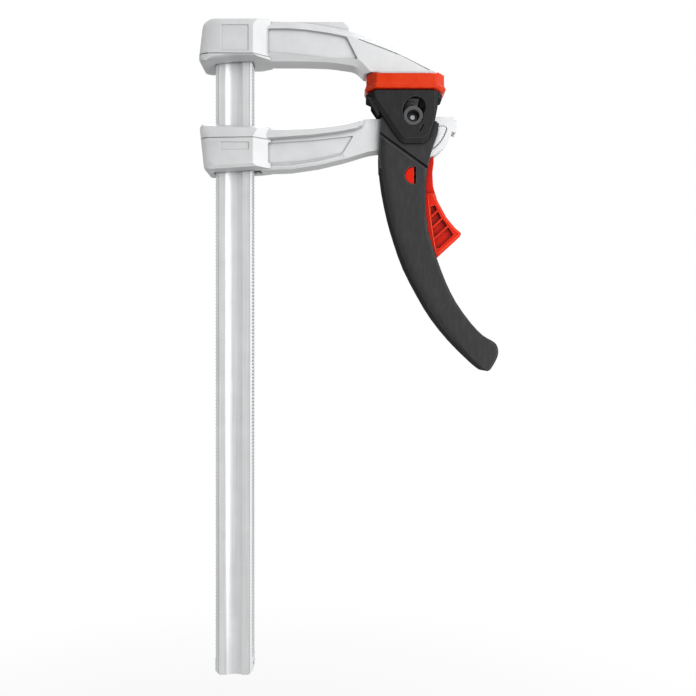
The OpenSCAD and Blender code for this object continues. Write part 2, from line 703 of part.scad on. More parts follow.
// Grip outline about the pivot in shares of the lever's length, with the bevel of each side
grip_shares = [[-0.1295, -0.0715, 0.034], [-0.132, -0.142, 0.034], [-0.1303, -0.183, 0.034],
    [-0.1197, -0.2735, 0.034],
    [-0.097, -0.384, 0.034], [-0.0697, -0.479, 0.034], [-0.0318, -0.585, 0.034], [0.0265, -0.6985, 0.034],
    [0.0833, -0.7917, 0.032], [0.1538, -0.8788, 0.024], [0.2235, -0.949, 0.013], [0.2674, -0.9879, 0.009],
    [0.2879, -0.9985, 0.008], [0.3053, -0.9947, 0.008], [0.3303, -0.953, 0.01], [0.3379, -0.9235, 0.01],
    [0.331, -0.8955, 0.01], [0.3129, -0.8788, 0.01], [0.2765, -0.8576, 0.012], [0.2295, -0.809, 0.011],
    [0.1712, -0.728, 0.011], [0.1303, -0.6462, 0.011], [0.0955, -0.5538, 0.011], [0.0742, -0.49, 0.011],
    [0.0606, -0.4371, 0.011], [0.0523, -0.3553, 0.011], [0.053, -0.2742, 0.011], [0.0576, -0.206, 0.006]];
grip_round = 3.4;

module grip() {
    rows = curve(grip_shares, 2);
    p = [for (row = rows) pivot + lever_l * [row[0], row[1]]];
    bevels = [for (row = rows) lever_l * row[2]];
    moulded(p, bevels, [for (row = rows) 0], grip_half, grip_round, 3);
}

// Room inside the lever: open to the left for the arm, to the right for the sector and trigger
trunnion_off = 0.2;
trunnion_drop = 30.6;
trunnion = pivot + [trunnion_off, -trunnion_drop];
trigger_l = 42;
pocket_low = trunnion[1] - 1.075 * trigger_l;
pocket_wide = trunnion[1] - 0.145 * trigger_l;
wall_shares = [[-0.132, -0.142], [-0.1303, -0.183], [-0.1197, -0.2735], [-0.097, -0.384],
    [-0.0697, -0.479], [-0.0318, -0.585]];
function wall_in(row) = pivot + lever_l * row + [grip_wall, 0];
arm_clear = arm_neck_low - 4 * run_gap;
wall_run = 0.032 * lever_l;
module lever_room() {
    inner = [for (row = wall_shares) wall_in(row)];
    above = concat([[-cut, cut], [-cut, arm_clear], [inner[0][0], arm_clear]], [for (i = [1:4]) inner[i]],
        [[inner[4][0] + wall_run, pocket_low], [cut * 2, pocket_low], [cut * 2, cut]]);
    slab_y(above, cheek_in);
    wide = [inner[2] + [press_gap, 0], inner[3], inner[4], [inner[4][0] + wall_run, pocket_low],
        [cut * 2, pocket_low], [cut * 2, pocket_wide]];
    slab_y(wide, pocket_half);
}

// Half-round windows for the trunnions
window_r = trunnion_r + run_gap;
window_flat = 1.3;
module trunnion_windows() {
    intersection() {
        rod_y(trunnion, window_r, -cut, cut);
        slab_y([trunnion + [-cut, -cut], trunnion + [window_flat, -cut], trunnion + [window_flat, cut],
            trunnion + [-cut, cut]], cut * 2);
    }
}

// Line across both faces of the grip, in shares of the lever's length
line_shares = [[-0.129, -0.062], [0.056, -0.196]];
line_w = 0.7;
line_d = 0.8;
module grip_line() {
    a = pivot + lever_l * line_shares[0];
    b = pivot + lever_l * line_shares[1];
    across = line_w / 2 * left_of(unit(b - a));
    face_cut([a - across, b - across, b + across, a + across], grip_half - line_d);
}

bore_r = pin_d / 2 + press_gap;
pin_seat = 2;
pin_half = cheek_in + pin_seat;
spring_r = 3.1;
spring_l = 10;
spring_seat = 1;
spring_z = trunnion[1] - 0.633 * trigger_l;
spring_x0 = pivot_x - 0.0583 * lever_l;
spring_x1 = spring_x0 + spring_l;
module handle() {
    color([0.24, 0.245, 0.25]) difference() {
        union() {
            grip();
            cheek(-cheek_out, cheek_out);
            rod_y(pivot, boss_d / 2, -boss_out, boss_out);
        }
        lever_room();
        grip_line();
        trunnion_windows();
        rod_y(pivot, bore_r, -cut, cut);
        for (side = [-1, 1])
            rod_y(pivot, bore_r + run_gap, side > 0 ? pin_half : -cut, side > 0 ? cut : -pin_half);
        translate([spring_x0, 0, spring_z]) rotate([0, 90, 0])
            cylinder(h = cut, r = spring_r + run_gap, $fn = fine);
    }
}

core_r = 1.15;
core_out = 0.5;
module pivot_pin() {
    color([0.16, 0.16, 0.17]) difference() {
        rod_y(pivot, pin_d / 2, -pin_half, pin_half);
        rod_y(pivot, core_r + press_gap, -cut, cut);
    }
}
module pivot_core() {
    end = pin_half + core_out;
    color([0.72, 0.73, 0.74]) difference() {
        rod_y(pivot, core_r, -end, end);
        for (side = [-1, 1])
            rod_y(pivot, core_r / 3, side > 0 ? end - core_out : -cut, side > 0 ? cut : -end + core_out);
    }
}

// Trigger

trigger_half = cheek_in - run_gap;
trigger_tip = pivot + polar(sector_r + run_gap, -59.6);
hub = trunnion_r;

// Outlines about the trunnion in shares of the trigger's length
core_in_shares = [[-0.019, -0.205], [0.019, -0.371]];
core_out_shares = [[0.11, -0.848], [0.207, -0.981], [0.3, -1], [0.35, -0.957], [0.433, -0.729],
    [0.319, -0.319], [0.257, -0.114], [0.248, 0.057], [0.264, 0.176]];
core_round_shares = [0.012, 0.01, 0, 0, 0.036, 0.036, 0.024, 0.024, 0, 0, 0, 0.024, 0.036, 0.024, 0, 0,
    0.024, 0.024, 0.024, 0.014];
paddle_shares = [[0.1, -0.2], [0.1, -0.514], [0.124, -0.8], [0.217, -0.986], [0.305, -1], [0.59, -0.738],
    [0.602, -0.698], [0.524, -0.631], [0.421, -0.505], [0.319, -0.319], [0.264, -0.2]];
pocket_shares = [[0.229, -0.538], [0.25, -0.705], [0.288, -0.89], [0.331, -0.886], [0.502, -0.721],
    [0.426, -0.605], [0.343, -0.495], [0.274, -0.357], [0.217, -0.371]];
rib_shares = [[0.217, -0.505], [0.233, -0.638], [0.257, -0.776]];
trigger_core = concat([trigger_tip, pivot + polar(sector_r + 3 * run_gap, -65.4),
    pivot + polar(sector_r + 4 * run_gap, -71.4), pivot + polar(sector_r + 6 * run_gap, -79),
    trunnion + [0, hub], trunnion + [-hub, 0], trunnion + [-hub * 0.8, -hub * 0.8]],
    grown(core_in_shares, trigger_l, trunnion), [[spring_x1, spring_z + spring_r + run_gap],
    [spring_x1, spring_z - spring_r - run_gap]], grown(core_out_shares, trigger_l, trunnion));
paddle_bevel = 0.9;
module trigger() {
    shape = grown(paddle_shares, trigger_l, trunnion);
    equal = [for (p = shape) paddle_bevel];
    color([0.87, 0.16, 0.10]) difference() {
        union() {
            slab_y(soften(trigger_core, trigger_l * core_round_shares, 3), trigger_half);
            moulded(shape, equal, 0.35 * equal, paddle_half, paddle_bevel, 2);
            intersection() {
                rod_y(trunnion, trunnion_r, -grip_half + 2 * run_gap, grip_half - 2 * run_gap);
                slab_y([trunnion + [-cut, -cut], trunnion + [run_gap, -cut], trunnion + [run_gap, cut],
                    trunnion + [-cut, cut]], cut);
            }
        }
        grip_pockets();
        slab_y(inset(pawl_outline, [for (p = pawl_outline) -press_gap]), pawl_t / 2 + press_gap);
        rod_y(pawl_pin_place, pawl_pin_d / 2 + press_gap, -cut, cut);
    }
}

// Four pockets between slanted ribs on each side of the paddle
pocket_deep = 1.9;
rib_slant = 42;
module grip_pockets() {
    difference() {
        face_cut(grown(pocket_shares, trigger_l, trunnion), paddle_half - pocket_deep);
        for (p = grown(rib_shares, trigger_l, trunnion))
            translate([p[0], 0, p[1]]) rotate([0, -rib_slant, 0])
                translate([-rib_t, -2 * cut, -rib_t / 2]) cube([cut, 4 * cut, rib_t]);
    }
}

pawl_shares = [[0.16, 0.206], [0.13, 0.167], [0.135, 0.086], [0.226, 0.086], [0.24, 0.186],
    [0.243, 0.245]];
pawl_outline = concat([pivot + polar(ratchet_out + run_gap, -62.6)], grown(pawl_shares, trigger_l, trunnion));
pawl_pin_place = trunnion + trigger_l * [0.169, 0.135];
pawl_pin_d = 1.6;
module pawl() {
    color([0.60, 0.61, 0.63]) difference() {
        slab_y(pawl_outline, pawl_t / 2);
        rod_y(pawl_pin_place, pawl_pin_d / 2 + press_gap, -cut, cut);
    }
}
module pawl_pin() {
    color([0.68, 0.69, 0.71]) rod_y(pawl_pin_place, pawl_pin_d / 2, -trigger_half, trigger_half);
}

// One unbroken tube: closed at both ends, 8 rings to a curl and 6 sides
module trigger_spring() {
    x0 = spring_x0 + wire_d / 2;
    x1 = spring_x1 - wire_d / 2 - run_gap;
    rings = curls * 8;
    r = spring_r - wire_d / 2;
    centres = [for (i = [0:rings]) let (a = 360 * curls * i / rings)
        [at(x0, x1, i / rings), r * cos(a), spring_z + r * sin(a)]];
    gap = min([for (i = [0:rings - 8]) norm(centres[i + 8] - centres[i])]) - wire_d;
    echo(spring_gap = gap);
    color([0.70, 0.71, 0.72]) skin([for (i = [0:rings]) let (c = centres[i], a = 360 * curls * i / rings)
        [for (k = [0:5]) c + wire_d / 2 * [cos(60 * k), sin(60 * k) * cos(a), sin(60 * k) * sin(a)]]],
        flip = true);
}

// Pressure plate

plate_x = -0.6;
cheek_bevel = 2.3;
slot_gap = 0.5;
slot_r = boss_d / 2 + slot_gap;
slot_rise = 4.6;
slit_w = 0.8;
slit_l = 4.2;
slit_x = 5.5;
slit_z = 4.6;
slit_slant = 31;
cheek_drop = 13.8;
plate_edge = 0.8;
plate_step = 1.9;
cheek_face = plate_out + press_gap;
plate_corner_x = 4.6;
slab_bevel = 1.6;
slot_lean = 1.2;

// Cheek outline about the pivot in shares of its drop below the pivot
plate_cheek_shares = [[-0.507, -0.884], [-0.355, -1], [0.406, -1], [0.616, -0.84], [0.819, -0.196],
    [0.957, 0.493], [0.986, 0.72]];
plate_edge_shares = [[-1.587, 0.72], [-1.522, 0.609], [-1.15, 0.058], [-0.8, -0.471]];
skirt_shares = [[-1.71, 0.72], [-1.63, 0.623], [-1.312, 0.043], [-1.268, 0.072], [-1.333, 0.72]];
cheek_high = -face_gap - plate_edge;
module plate_side() {
    right = grown(plate_cheek_shares, cheek_drop, pivot);
    left = grown(plate_edge_shares, cheek_drop, pivot);
    p = concat(right, [[right[6][0], cheek_high], [left[0][0], cheek_high]], left);
    bevels = [cheek_bevel, cheek_bevel, cheek_bevel, plate_edge, plate_edge, plate_edge, plate_edge, 0,
        cheek_bevel, cheek_bevel, cheek_bevel, cheek_bevel, cheek_bevel];
    corners = plate_edge * [1, 1, 1.5, 1.5, 0, 0, 0, 0, 0, 0, 0, 0, 0];
    rows = [[-cheek_face, 1], [-cheek_face + plate_step, 0], [-plate_in, 0]];
    intersection() {
        skin([for (row = rows) ring_y(soften(inset(p, bevels * row[1]), corners, 4), row[0])]);
        translate([0, 0, -cut]) linear_extrude(cut)
            polygon(octagon(plate_w / 2, plate_out + plate_edge / 4, plate_corner_x, corner_y, plate_x));
    }
}

module pressure_plate() {
    a = plate_w / 2;
    b = plate_out;
    rows = [[slab_under, -slab_bevel], [slab_under + slab_bevel * 0.7, 0], [-face_gap - plate_edge, 0],
        [-face_gap, -plate_edge]];
    color([0.19, 0.195, 0.20]) difference() {
        union() {
            skin([for (row = rows) ring_z(soften(octagon(a + row[1], b + row[1], plate_corner_x, corner_y, plate_x),
                [for (i = [0:7]) plate_edge], 2), row[0])], flip = true);
            for (side = [0, 1]) mirror([0, side, 0]) plate_side();
            prism_y(grown(skirt_shares, cheek_drop, pivot), -plate_in - run_gap, -web_half - 2 * run_gap);
        }
        for (c = [[0, 0], [0, plate_lift], [slot_lean, slot_rise]])
            rod_y(pivot + c, slot_r, -cut, cut);
        slab_y([for (c = [[-slot_r, 0], [slot_r, 0], [slot_lean + slot_r, slot_rise],
            [slot_lean - slot_r, slot_rise], [-slot_r, plate_lift]]) pivot + c], cut);
        for (side = [-1, 1])
            translate([pivot_x + slit_x, side * plate_out - cut / 8, pivot_z - slit_z])
                rotate([0, slit_slant, 0]) translate([-slit_w / 2, 0, -slit_l])
                    cube([slit_w, cut / 4, slit_l]);
    }
}

thrust_w = 15;
thrust_x0 = pivot_x - cam_base - thrust_w / 2;
module thrust_plate() {
    color([0.72, 0.73, 0.74]) translate([thrust_x0, -plate_in + press_gap, thrust_under])
        cube([thrust_w, 2 * (plate_in - press_gap), thrust_h]);
}

rail();
fixed_jaw();
jaw_dowel_pins();
fixed_jaw_cap();
sliding_arm();
upper_grip_plate();
lower_grip_plate();
grip_plate_pins();
ratchet_sector();
sector_rivets();
pivot_bush();
handle();
pivot_pin();
pivot_core();
trigger();
pawl();
pawl_pin();
trigger_spring();
pressure_plate();
thrust_plate();
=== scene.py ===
import logging
import math
from collections.abc import Iterator
from dataclasses import dataclass
from enum import Enum
from typing import Any, Optional, Union

import bmesh
import bpy
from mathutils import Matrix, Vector


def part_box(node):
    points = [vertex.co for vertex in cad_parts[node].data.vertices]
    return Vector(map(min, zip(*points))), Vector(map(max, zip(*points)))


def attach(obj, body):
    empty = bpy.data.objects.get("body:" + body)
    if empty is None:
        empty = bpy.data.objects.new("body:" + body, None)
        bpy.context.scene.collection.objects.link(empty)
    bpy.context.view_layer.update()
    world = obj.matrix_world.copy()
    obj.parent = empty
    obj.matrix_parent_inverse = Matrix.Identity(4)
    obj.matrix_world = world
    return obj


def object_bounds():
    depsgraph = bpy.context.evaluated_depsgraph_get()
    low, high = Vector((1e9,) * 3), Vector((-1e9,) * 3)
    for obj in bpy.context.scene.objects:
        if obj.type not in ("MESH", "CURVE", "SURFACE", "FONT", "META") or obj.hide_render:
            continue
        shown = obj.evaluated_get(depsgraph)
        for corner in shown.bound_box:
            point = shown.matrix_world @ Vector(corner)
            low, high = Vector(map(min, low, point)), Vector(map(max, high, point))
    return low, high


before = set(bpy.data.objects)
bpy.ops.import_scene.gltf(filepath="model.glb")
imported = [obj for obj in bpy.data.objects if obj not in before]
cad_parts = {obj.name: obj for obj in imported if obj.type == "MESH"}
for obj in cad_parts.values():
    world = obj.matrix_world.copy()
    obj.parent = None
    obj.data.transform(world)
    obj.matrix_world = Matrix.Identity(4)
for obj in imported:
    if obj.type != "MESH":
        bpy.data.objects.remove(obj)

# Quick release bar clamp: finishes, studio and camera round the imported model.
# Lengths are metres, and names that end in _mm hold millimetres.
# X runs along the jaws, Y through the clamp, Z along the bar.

LOG = logging.getLogger("bar_clamp")
MM = 0.001
# The lever's pivot, along X and Z
PIVOT_MM = (3.6, -13.8)
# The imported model's box, kept before anything is added
CAD_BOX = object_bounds()
# How strongly the finer octaves count in every noise
GRAIN_ROUGHNESS = 0.55
# How far off a clamping face its pips fade out, and where a pip's flank starts and ends in its cell
PAD_FACE_MM = 0.25
PIP_FLANK = (0.3, 0.4)
# Rays that the rounded edges and the painted corner shade take
EDGE_SAMPLES = 6
CORNER_SHADE_SAMPLES = 8
# Shares of open sky at which the painted shade in a corner is darkest and at which a face is clear
CORNER_SHADE_OPEN = (0.35, 0.95)

Colour = tuple[float, float, float, float]
Socket = bpy.types.NodeSocket
Tree = bpy.types.NodeTree
Value = Union[Socket, float, bool, tuple]


class Slot(Enum):
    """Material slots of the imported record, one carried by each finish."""

    BRIGHT_STEEL = "bright_steel"
    CAST_ALLOY = "cast_alloy"
    PIN_STEEL = "pin_steel"
    DARK_STEEL = "dark_steel"
    SPRING_STEEL = "spring_steel"
    BUSH_BRONZE = "bush_bronze"
    BLACK_STEEL = "black_steel"
    RED_PAD = "red_pad"
    RED_PLASTIC = "red_plastic"
    BLACK_PLASTIC = "black_plastic"


class Axis(Enum):
    """Axis of a pattern that runs one way, as an index into a vector."""

    X = 0
    Y = 1
    Z = 2


def linear(hex_colour: str) -> Colour:
    """Turn an sRGB hex colour into the linear colour that a shader takes.

    Args:
        hex_colour: six hex digits after a hash sign.

    Returns:
        Linear red, green, blue and an alpha of one.
    """
    parts = [int(hex_colour[i:i + 2], 16) / 255 for i in (1, 3, 5)]
    red, green, blue = (p / 12.92 if p <= 0.04045 else ((p + 0.055) / 1.055) ** 2.4 for p in parts)
    return red, green, blue, 1.0


def add_node(tree: Tree, kind: str, inputs: Optional[dict[Union[str, int], Value]] = None,
             **settings: Any) -> bpy.types.Node:
    """Add a node, set its properties, and fill or link its inputs.

    Args:
        tree: the node tree that gets the node.
        kind: the node's class name in Blender.
        inputs: input names or numbers, each with a value or with the output that feeds it.
        settings: properties of the node itself.

    Returns:
        The new node.
    """
    node = tree.nodes.new(kind)
    for name, value in settings.items():
        setattr(node, name, value)
    for key, value in (inputs or {}).items():
        if isinstance(value, Socket):
            tree.links.new(value, node.inputs[key])
        else:
            node.inputs[key].default_value = value
    return node


def in_threes(points: list[Vector]) -> Iterator[tuple[Vector, Vector, Vector]]:
    """Give each point of a closed line with the ones before and after it.

    Args:
        points: the line's points in order.

    Returns:
        The threes, one for each point.
    """
    return zip(points[-1:] + points[:-1], points, points[1:] + points[:1])


@dataclass(frozen=True)
class Finish:
    """What every finish has: a name, a base colour and the softness of its edges."""

    name: str
    slot: Slot
    base: str
    edge_mm: float = 0.3

    def start(self) -> tuple[bpy.types.Material, Tree, Socket, Socket]:
        """Make a material with this finish's name and what every finish starts from.

        Returns:
            The material, its node tree, the place on the piece in metres, which rides with
            the piece, and the normal with its edges rounded.
        """
        material = bpy.data.materials.new(self.name)
        material.use_nodes = True
        tree = material.node_tree
        tree.nodes.clear()
        place = add_node(tree, "ShaderNodeTexCoord").outputs["Object"]
        # Tumbling, casting or moulding leaves every edge a little round
        rounded = add_node(tree, "ShaderNodeBevel", {"Radius": self.edge_mm * MM}, samples=EDGE_SAMPLES)
        return material, tree, place, rounded.outputs[0]

    def along(self, tree: Tree, place: Socket, grain: Axis, stretch: float) -> Socket:
        """Stretch a pattern's place along the way that the grain runs.

        Args:
            tree: the material's node tree.
            place: the place on the piece.
            grain: the axis that the grain runs along.
            stretch: how many times longer than wide a grain line is.

        Returns:
            The stretched place.
        """
        scale = [1.0, 1.0, 1.0]
        scale[grain.value] = 1 / stretch
        return add_node(tree, "ShaderNodeMapping", {"Vector": place, "Scale": tuple(scale)}).outputs[0]

    def grain(self, tree: Tree, place: Socket, size_mm: float, detail: float = 3) -> Socket:
        """Make a noise whose cells have a real size.

        Args:
            tree: the material's node tree.
            place: the place that the noise is laid on.
            size_mm: width of one cell in millimetres.
            detail: octaves of finer noise in it.

        Returns:
            The noise, from zero to one.
        """
        return add_node(tree, "ShaderNodeTexNoise", {"Vector": place, "Scale": 1 / (size_mm * MM),
                                                     "Detail": detail,
                                                     "Roughness": GRAIN_ROUGHNESS}).outputs[0]

    def spread(self, tree: Tree, source: Socket, low: float, high: float,
               edges: tuple[float, float] = (0.3, 0.7)) -> Socket:
        """Map a pattern's middle range to values between two limits.

        Args:
            tree: the material's node tree.
            source: the pattern.
            low: value at the lower edge.
            high: value at the upper edge.
            edges: the pattern's values that reach the two limits.

        Returns:
            The mapped value.
        """
        return add_node(tree, "ShaderNodeMapRange", {"Value": source, "From Min": edges[0],
                                                     "From Max": edges[1], "To Min": low,
                                                     "To Max": high}).outputs[0]

    def tint(self, tree: Tree, share: Socket, first: str, second: str) -> Socket:
        """Blend two sRGB colours by a share.

        Args:
            tree: the material's node tree.
            share: zero for the first colour, one for the second.
            first: sRGB hex colour.
            second: sRGB hex colour.

        Returns:
            The blended colour.
        """
        node = add_node(tree, "ShaderNodeMix", {0: share, 6: linear(first), 7: linear(second)},
                        data_type="RGBA")
        return node.outputs[2]

    def overlaid(self, tree: Tree, share: Socket, colour: Socket, top: str) -> Socket:
        """Lay an sRGB colour over another colour as far as a share says.

        Args:
            tree: the material's node tree.
            share: zero to leave the colour, one to cover it.
            colour: the colour below.
            top: sRGB hex colour laid over it.

        Returns:
            The blended colour.
        """
        return add_node(tree, "ShaderNodeMix", {0: share, 6: colour, 7: linear(top)},
                        data_type="RGBA").outputs[2]

    def layered(self, tree: Tree, under: Socket, over: Socket) -> Socket:
        """Lay one pattern over another, so that their shares add up.

        Args:
            tree: the material's node tree.
            under: the first pattern.
            over: the second pattern.

        Returns:
            The two together.
        """
        return add_node(tree, "ShaderNodeMath", {0: under, 1: over}, operation="ADD").outputs[0]

    def masked(self, tree: Tree, pattern: Socket, mask: Value) -> Socket:
        """Let a pattern show only as far as a mask or a strength allows.

        Args:
            tree: the material's node tree.
            pattern: the pattern.
            mask: zero to hide it, one to show it as it is.

        Returns:
            The masked pattern.
        """
        return add_node(tree, "ShaderNodeMath", {0: pattern, 1: mask}, operation="MULTIPLY").outputs[0]

    def apart(self, tree: Tree, value: Socket, level: float) -> Socket:
        """Give how far a value is from a level, either way."""
        past = add_node(tree, "ShaderNodeMath", {0: value, 1: level}, operation="SUBTRACT").outputs[0]
        return add_node(tree, "ShaderNodeMath", {0: past}, operation="ABSOLUTE").outputs[0]

    def near(self, tree: Tree, place: Socket, axis: Axis, level: float, reach: float) -> Socket:
        """Find what lies close to a plane across one axis.

        Args:
            tree: the material's node tree.
            place: the place on the piece.
            axis: the axis that the plane cuts.
            level: where it cuts it, in metres.
            reach: how far from it the share falls to zero, in metres.

        Returns:
            One on the plane, falling to zero.
        """
        height = add_node(tree, "ShaderNodeSeparateXYZ", {0: place}).outputs[axis.value]
        return self.spread(tree, self.apart(tree, height, level), 1, 0, (0, reach))

    def parting(self, tree: Tree, place: Socket, width_mm: float) -> Socket:
        """Find the thin line in the middle plane, where the halves of a mould or die meet."""
        return self.near(tree, place, Axis.Y, 0.0, width_mm * MM)

    def pad_grid(self, tree: Tree, place: Socket, level_mm: float, cell_mm: float) -> Socket:
        """Raise small square pips on a clamping face and nowhere else.

        Args:
            tree: the material's node tree.
            place: the place on the piece.
            level_mm: height of the face.
            cell_mm: pitch of the pips.

        Returns:
            The height of the pips, from zero to one.
        """
        pips = add_node(tree, "ShaderNodeTexVoronoi", {"Vector": place, "Scale": 1 / (cell_mm * MM),
                                                       "Randomness": 0.0},
                        voronoi_dimensions="2D", distance="CHEBYCHEV").outputs["Distance"]
        face = self.near(tree, place, Axis.Z, level_mm * MM, PAD_FACE_MM * MM)
        return self.masked(tree, self.spread(tree, pips, 1, 0, PIP_FLANK), face)

    def facing(self, tree: Tree, axis: Axis) -> Socket:
        """Give how far the surface faces along one axis of the piece, from minus one to one."""
        normal = add_node(tree, "ShaderNodeTexCoord").outputs["Normal"]
        return add_node(tree, "ShaderNodeSeparateXYZ", {0: normal}).outputs[axis.value]

    def from_pivot(self, tree: Tree, place: Socket) -> Socket:
        """Measure how far a place is from the lever's pivot, across the pin.

        Args:
            tree: the material's node tree.
            place: the place on the piece.

        Returns:
            The distance in metres.
        """
        pivot = (PIVOT_MM[0] * MM, 0.0, PIVOT_MM[1] * MM)
        offset = add_node(tree, "ShaderNodeVectorMath", {0: place, 1: pivot}, operation="SUBTRACT")
        # The pin runs along Y, so only X and Z count
        flat = add_node(tree, "ShaderNodeVectorMath", {0: offset.outputs[0], 1: (1.0, 0.0, 1.0)},
                        operation="MULTIPLY")
        reach = add_node(tree, "ShaderNodeVectorMath", {0: flat.outputs[0]}, operation="LENGTH")
        return reach.outputs["Value"]

    def highlight_edges(self, tree: Tree, rounded: Socket,
             bend: tuple[float, float] = (0.8, 0.97)) -> Socket:
        """Find the edges, which get a painted highlight.

        Args:
            tree: the material's node tree.
            rounded: the rounded normal.
            bend: cosines of the turns of the normal that count as full edge and as none.

        Returns:
            Near one at an edge and zero on a face.
        """
        flat = add_node(tree, "ShaderNodeNewGeometry").outputs["Normal"]
        match = add_node(tree, "ShaderNodeVectorMath", {0: rounded, 1: flat}, operation="DOT_PRODUCT")
        return self.spread(tree, match.outputs["Value"], 1, 0, bend)

    def shaded(self, tree: Tree, colour: Socket, reach_mm: float, deep: str) -> Socket:
        """Paint shade into the inner corners, darker where less open sky reaches them.

        Args:
            tree: the material's node tree.
            colour: the surface's colour.
            reach_mm: how far the painted shade reaches out of a corner.
            deep: sRGB hex colour of the painted shade deep in a corner.

        Returns:
            The colour with painted shade in its inner corners.
        """
        open_share = add_node(tree, "ShaderNodeAmbientOcclusion", {"Distance": reach_mm * MM},
                              samples=CORNER_SHADE_SAMPLES)
        share = self.spread(tree, open_share.outputs["AO"], 0, 1, CORNER_SHADE_OPEN)
        return add_node(tree, "ShaderNodeMix", {0: share, 6: linear(deep), 7: colour},
                        data_type="RGBA").outputs[2]

    def relief(self, tree: Tree, height: Socket, depth_mm: float, normal: Socket) -> Socket:
        """Turn a pattern into relief of a real depth.

        Args:
            tree: the material's node tree.
            height: the pattern, from zero to one.
            depth_mm: how far one stands above zero.
            normal: the normal below the relief.

        Returns:
            The bumped normal.
        """
        return add_node(tree, "ShaderNodeBump", {"Height": height, "Normal": normal, "Strength": 1.0,
                                                 "Distance": depth_mm * MM}).outputs[0]

    def close(self, tree: Tree, links: dict[str, Value]) -> None:
        """End the tree with the surface shader and its output.

        Args:
            tree: the material's node tree.
            links: the shader's inputs.
        """
        shader = add_node(tree, "ShaderNodeBsdfPrincipled", links)
        add_node(tree, "ShaderNodeOutputMaterial", {"Surface": shader.outputs[0]})


@dataclass(frozen=True)
class ColdDrawnSteel(Finish):
    """Bar steel pulled through a die: fine bright draw lines, a painted highlight beside its inner edge, and
    painted shade in its serrations and corners.
    """

    bloom: str = "#D8D9DA"
    metallic: float = 0.7
    roughness: tuple[float, float] = (0.36, 0.48)
    drawn: Axis = Axis.Z
    draw_line_mm: float = 0.9
    draw_line_stretch: float = 60.0
    cloud_mm: float = 14.0
    cloud_share: float = 0.4
    relief_mm: float = 0.006
    # Where the two narrow edges lie along X, the inner one last
    edges_mm: tuple[float, float] = (-99.5, -80.0)
    # How far a face turns towards X before it starts to count as an edge, and before it is one
    edge_turn: tuple[float, float] = (0.4, 0.6)
    band_mm: float = 1.7
    # Painted highlight in a band beside the inner edge
    band_highlight: str = "#F4F4F5"
    band_highlight_reach: float = 1.2
    # A greyer band along the outer edge
    outer_grey: str = "#9C9D9F"
    outer_grey_reach: float = 1.4
    outer_grey_share: float = 0.4
    line_mm: float = 0.22
    line: str = "#6F7174"
    line_share: float = 0.75
    tooth_mm: float = 0.5
    tooth_reach_mm: float = 0.4
    # Painted shade in the valleys of the serrations
    scale: str = "#242526"
    valley_shade_share: float = 0.95
    # Painted shade in the inner corners
    corner: str = "#7B7D80"
    corner_shade_mm: float = 1.2

    def beside(self, tree: Tree, place: Socket, across_mm: float, reach_mm: float) -> Socket:
        """Find what lies near one line along the bar."""
        return self.near(tree, place, Axis.X, across_mm * MM, reach_mm * MM)

    def inset(self, tree: Tree, place: Socket, depth_mm: float, reach_mm: float) -> Socket:
        """Find what lies at one depth inside both narrow edges.

        Args:
            tree: the material's node tree.
            place: the place on the bar.
            depth_mm: how far inside the edges.
            reach_mm: how far from there the share falls to zero.

        Returns:
            One at that depth, falling to zero.
        """
        return self.layered(tree, self.beside(tree, place, self.edges_mm[0] + depth_mm, reach_mm),
                            self.beside(tree, place, self.edges_mm[1] - depth_mm, reach_mm))

    def narrow(self, tree: Tree) -> Socket:
        """Find the toothed edges by the way that they face."""
        size = add_node(tree, "ShaderNodeMath", {0: self.facing(tree, Axis.X)}, operation="ABSOLUTE")
        return self.spread(tree, size.outputs[0], 0, 1, self.edge_turn)

    def build(self) -> bpy.types.Material:
        """Make the material.

        Returns:
            The finished material.
        """
        material, tree, place, rounded = self.start()
        # Real draw lines are 0.1 mm apart, too fine to show, so they are drawn at 0.9 mm
        run = self.along(tree, place, self.drawn, self.draw_line_stretch)
        lines = self.grain(tree, run, self.draw_line_mm, 4)
        # The straightening rolls leave faint clouds about a centimetre wide
        cloud = self.grain(tree, place, self.cloud_mm)
        share = self.layered(tree, self.spread(tree, lines, 0, 1 - self.cloud_share),
                             self.spread(tree, cloud, 0, self.cloud_share))
        colour = self.tint(tree, share, self.base, self.bloom)
        # The outer edge, which carries no load, is painted a greyer band
        half = self.band_mm / 2
        bloom = self.beside(tree, place, self.edges_mm[0] + half, half * self.outer_grey_reach)
        colour = self.overlaid(tree, self.masked(tree, bloom, self.outer_grey_share), colour, self.outer_grey)
        # A painted highlight lies in a band beside the inner edge, which the arm loads
        lit_band = self.beside(tree, place, self.edges_mm[1] - half, half * self.band_highlight_reach)
        colour = self.overlaid(tree, lit_band, colour, self.band_highlight)
        # A fine dark line runs a band's width inside both edges
        line = self.masked(tree, self.inset(tree, place, self.band_mm, self.line_mm), self.line_share)
        colour = self.overlaid(tree, line, colour, self.line)
        # Painted shade darkens the valleys of the serrations on the narrow edges
        tooth_shade = self.inset(tree, place, self.tooth_mm, self.tooth_reach_mm)
        tooth_shade = self.masked(tree, self.masked(tree, tooth_shade, self.valley_shade_share), self.narrow(tree))
        colour = self.overlaid(tree, tooth_shade, colour, self.scale)
        # Painted shade darkens the inner corners
        self.close(tree, {
            "Base Color": self.shaded(tree, colour, self.corner_shade_mm, self.corner),
            "Metallic": self.metallic,
            "Roughness": self.spread(tree, lines, *self.roughness),
            "Normal": self.relief(tree, lines, self.relief_mm, rounded),
        })
        return material


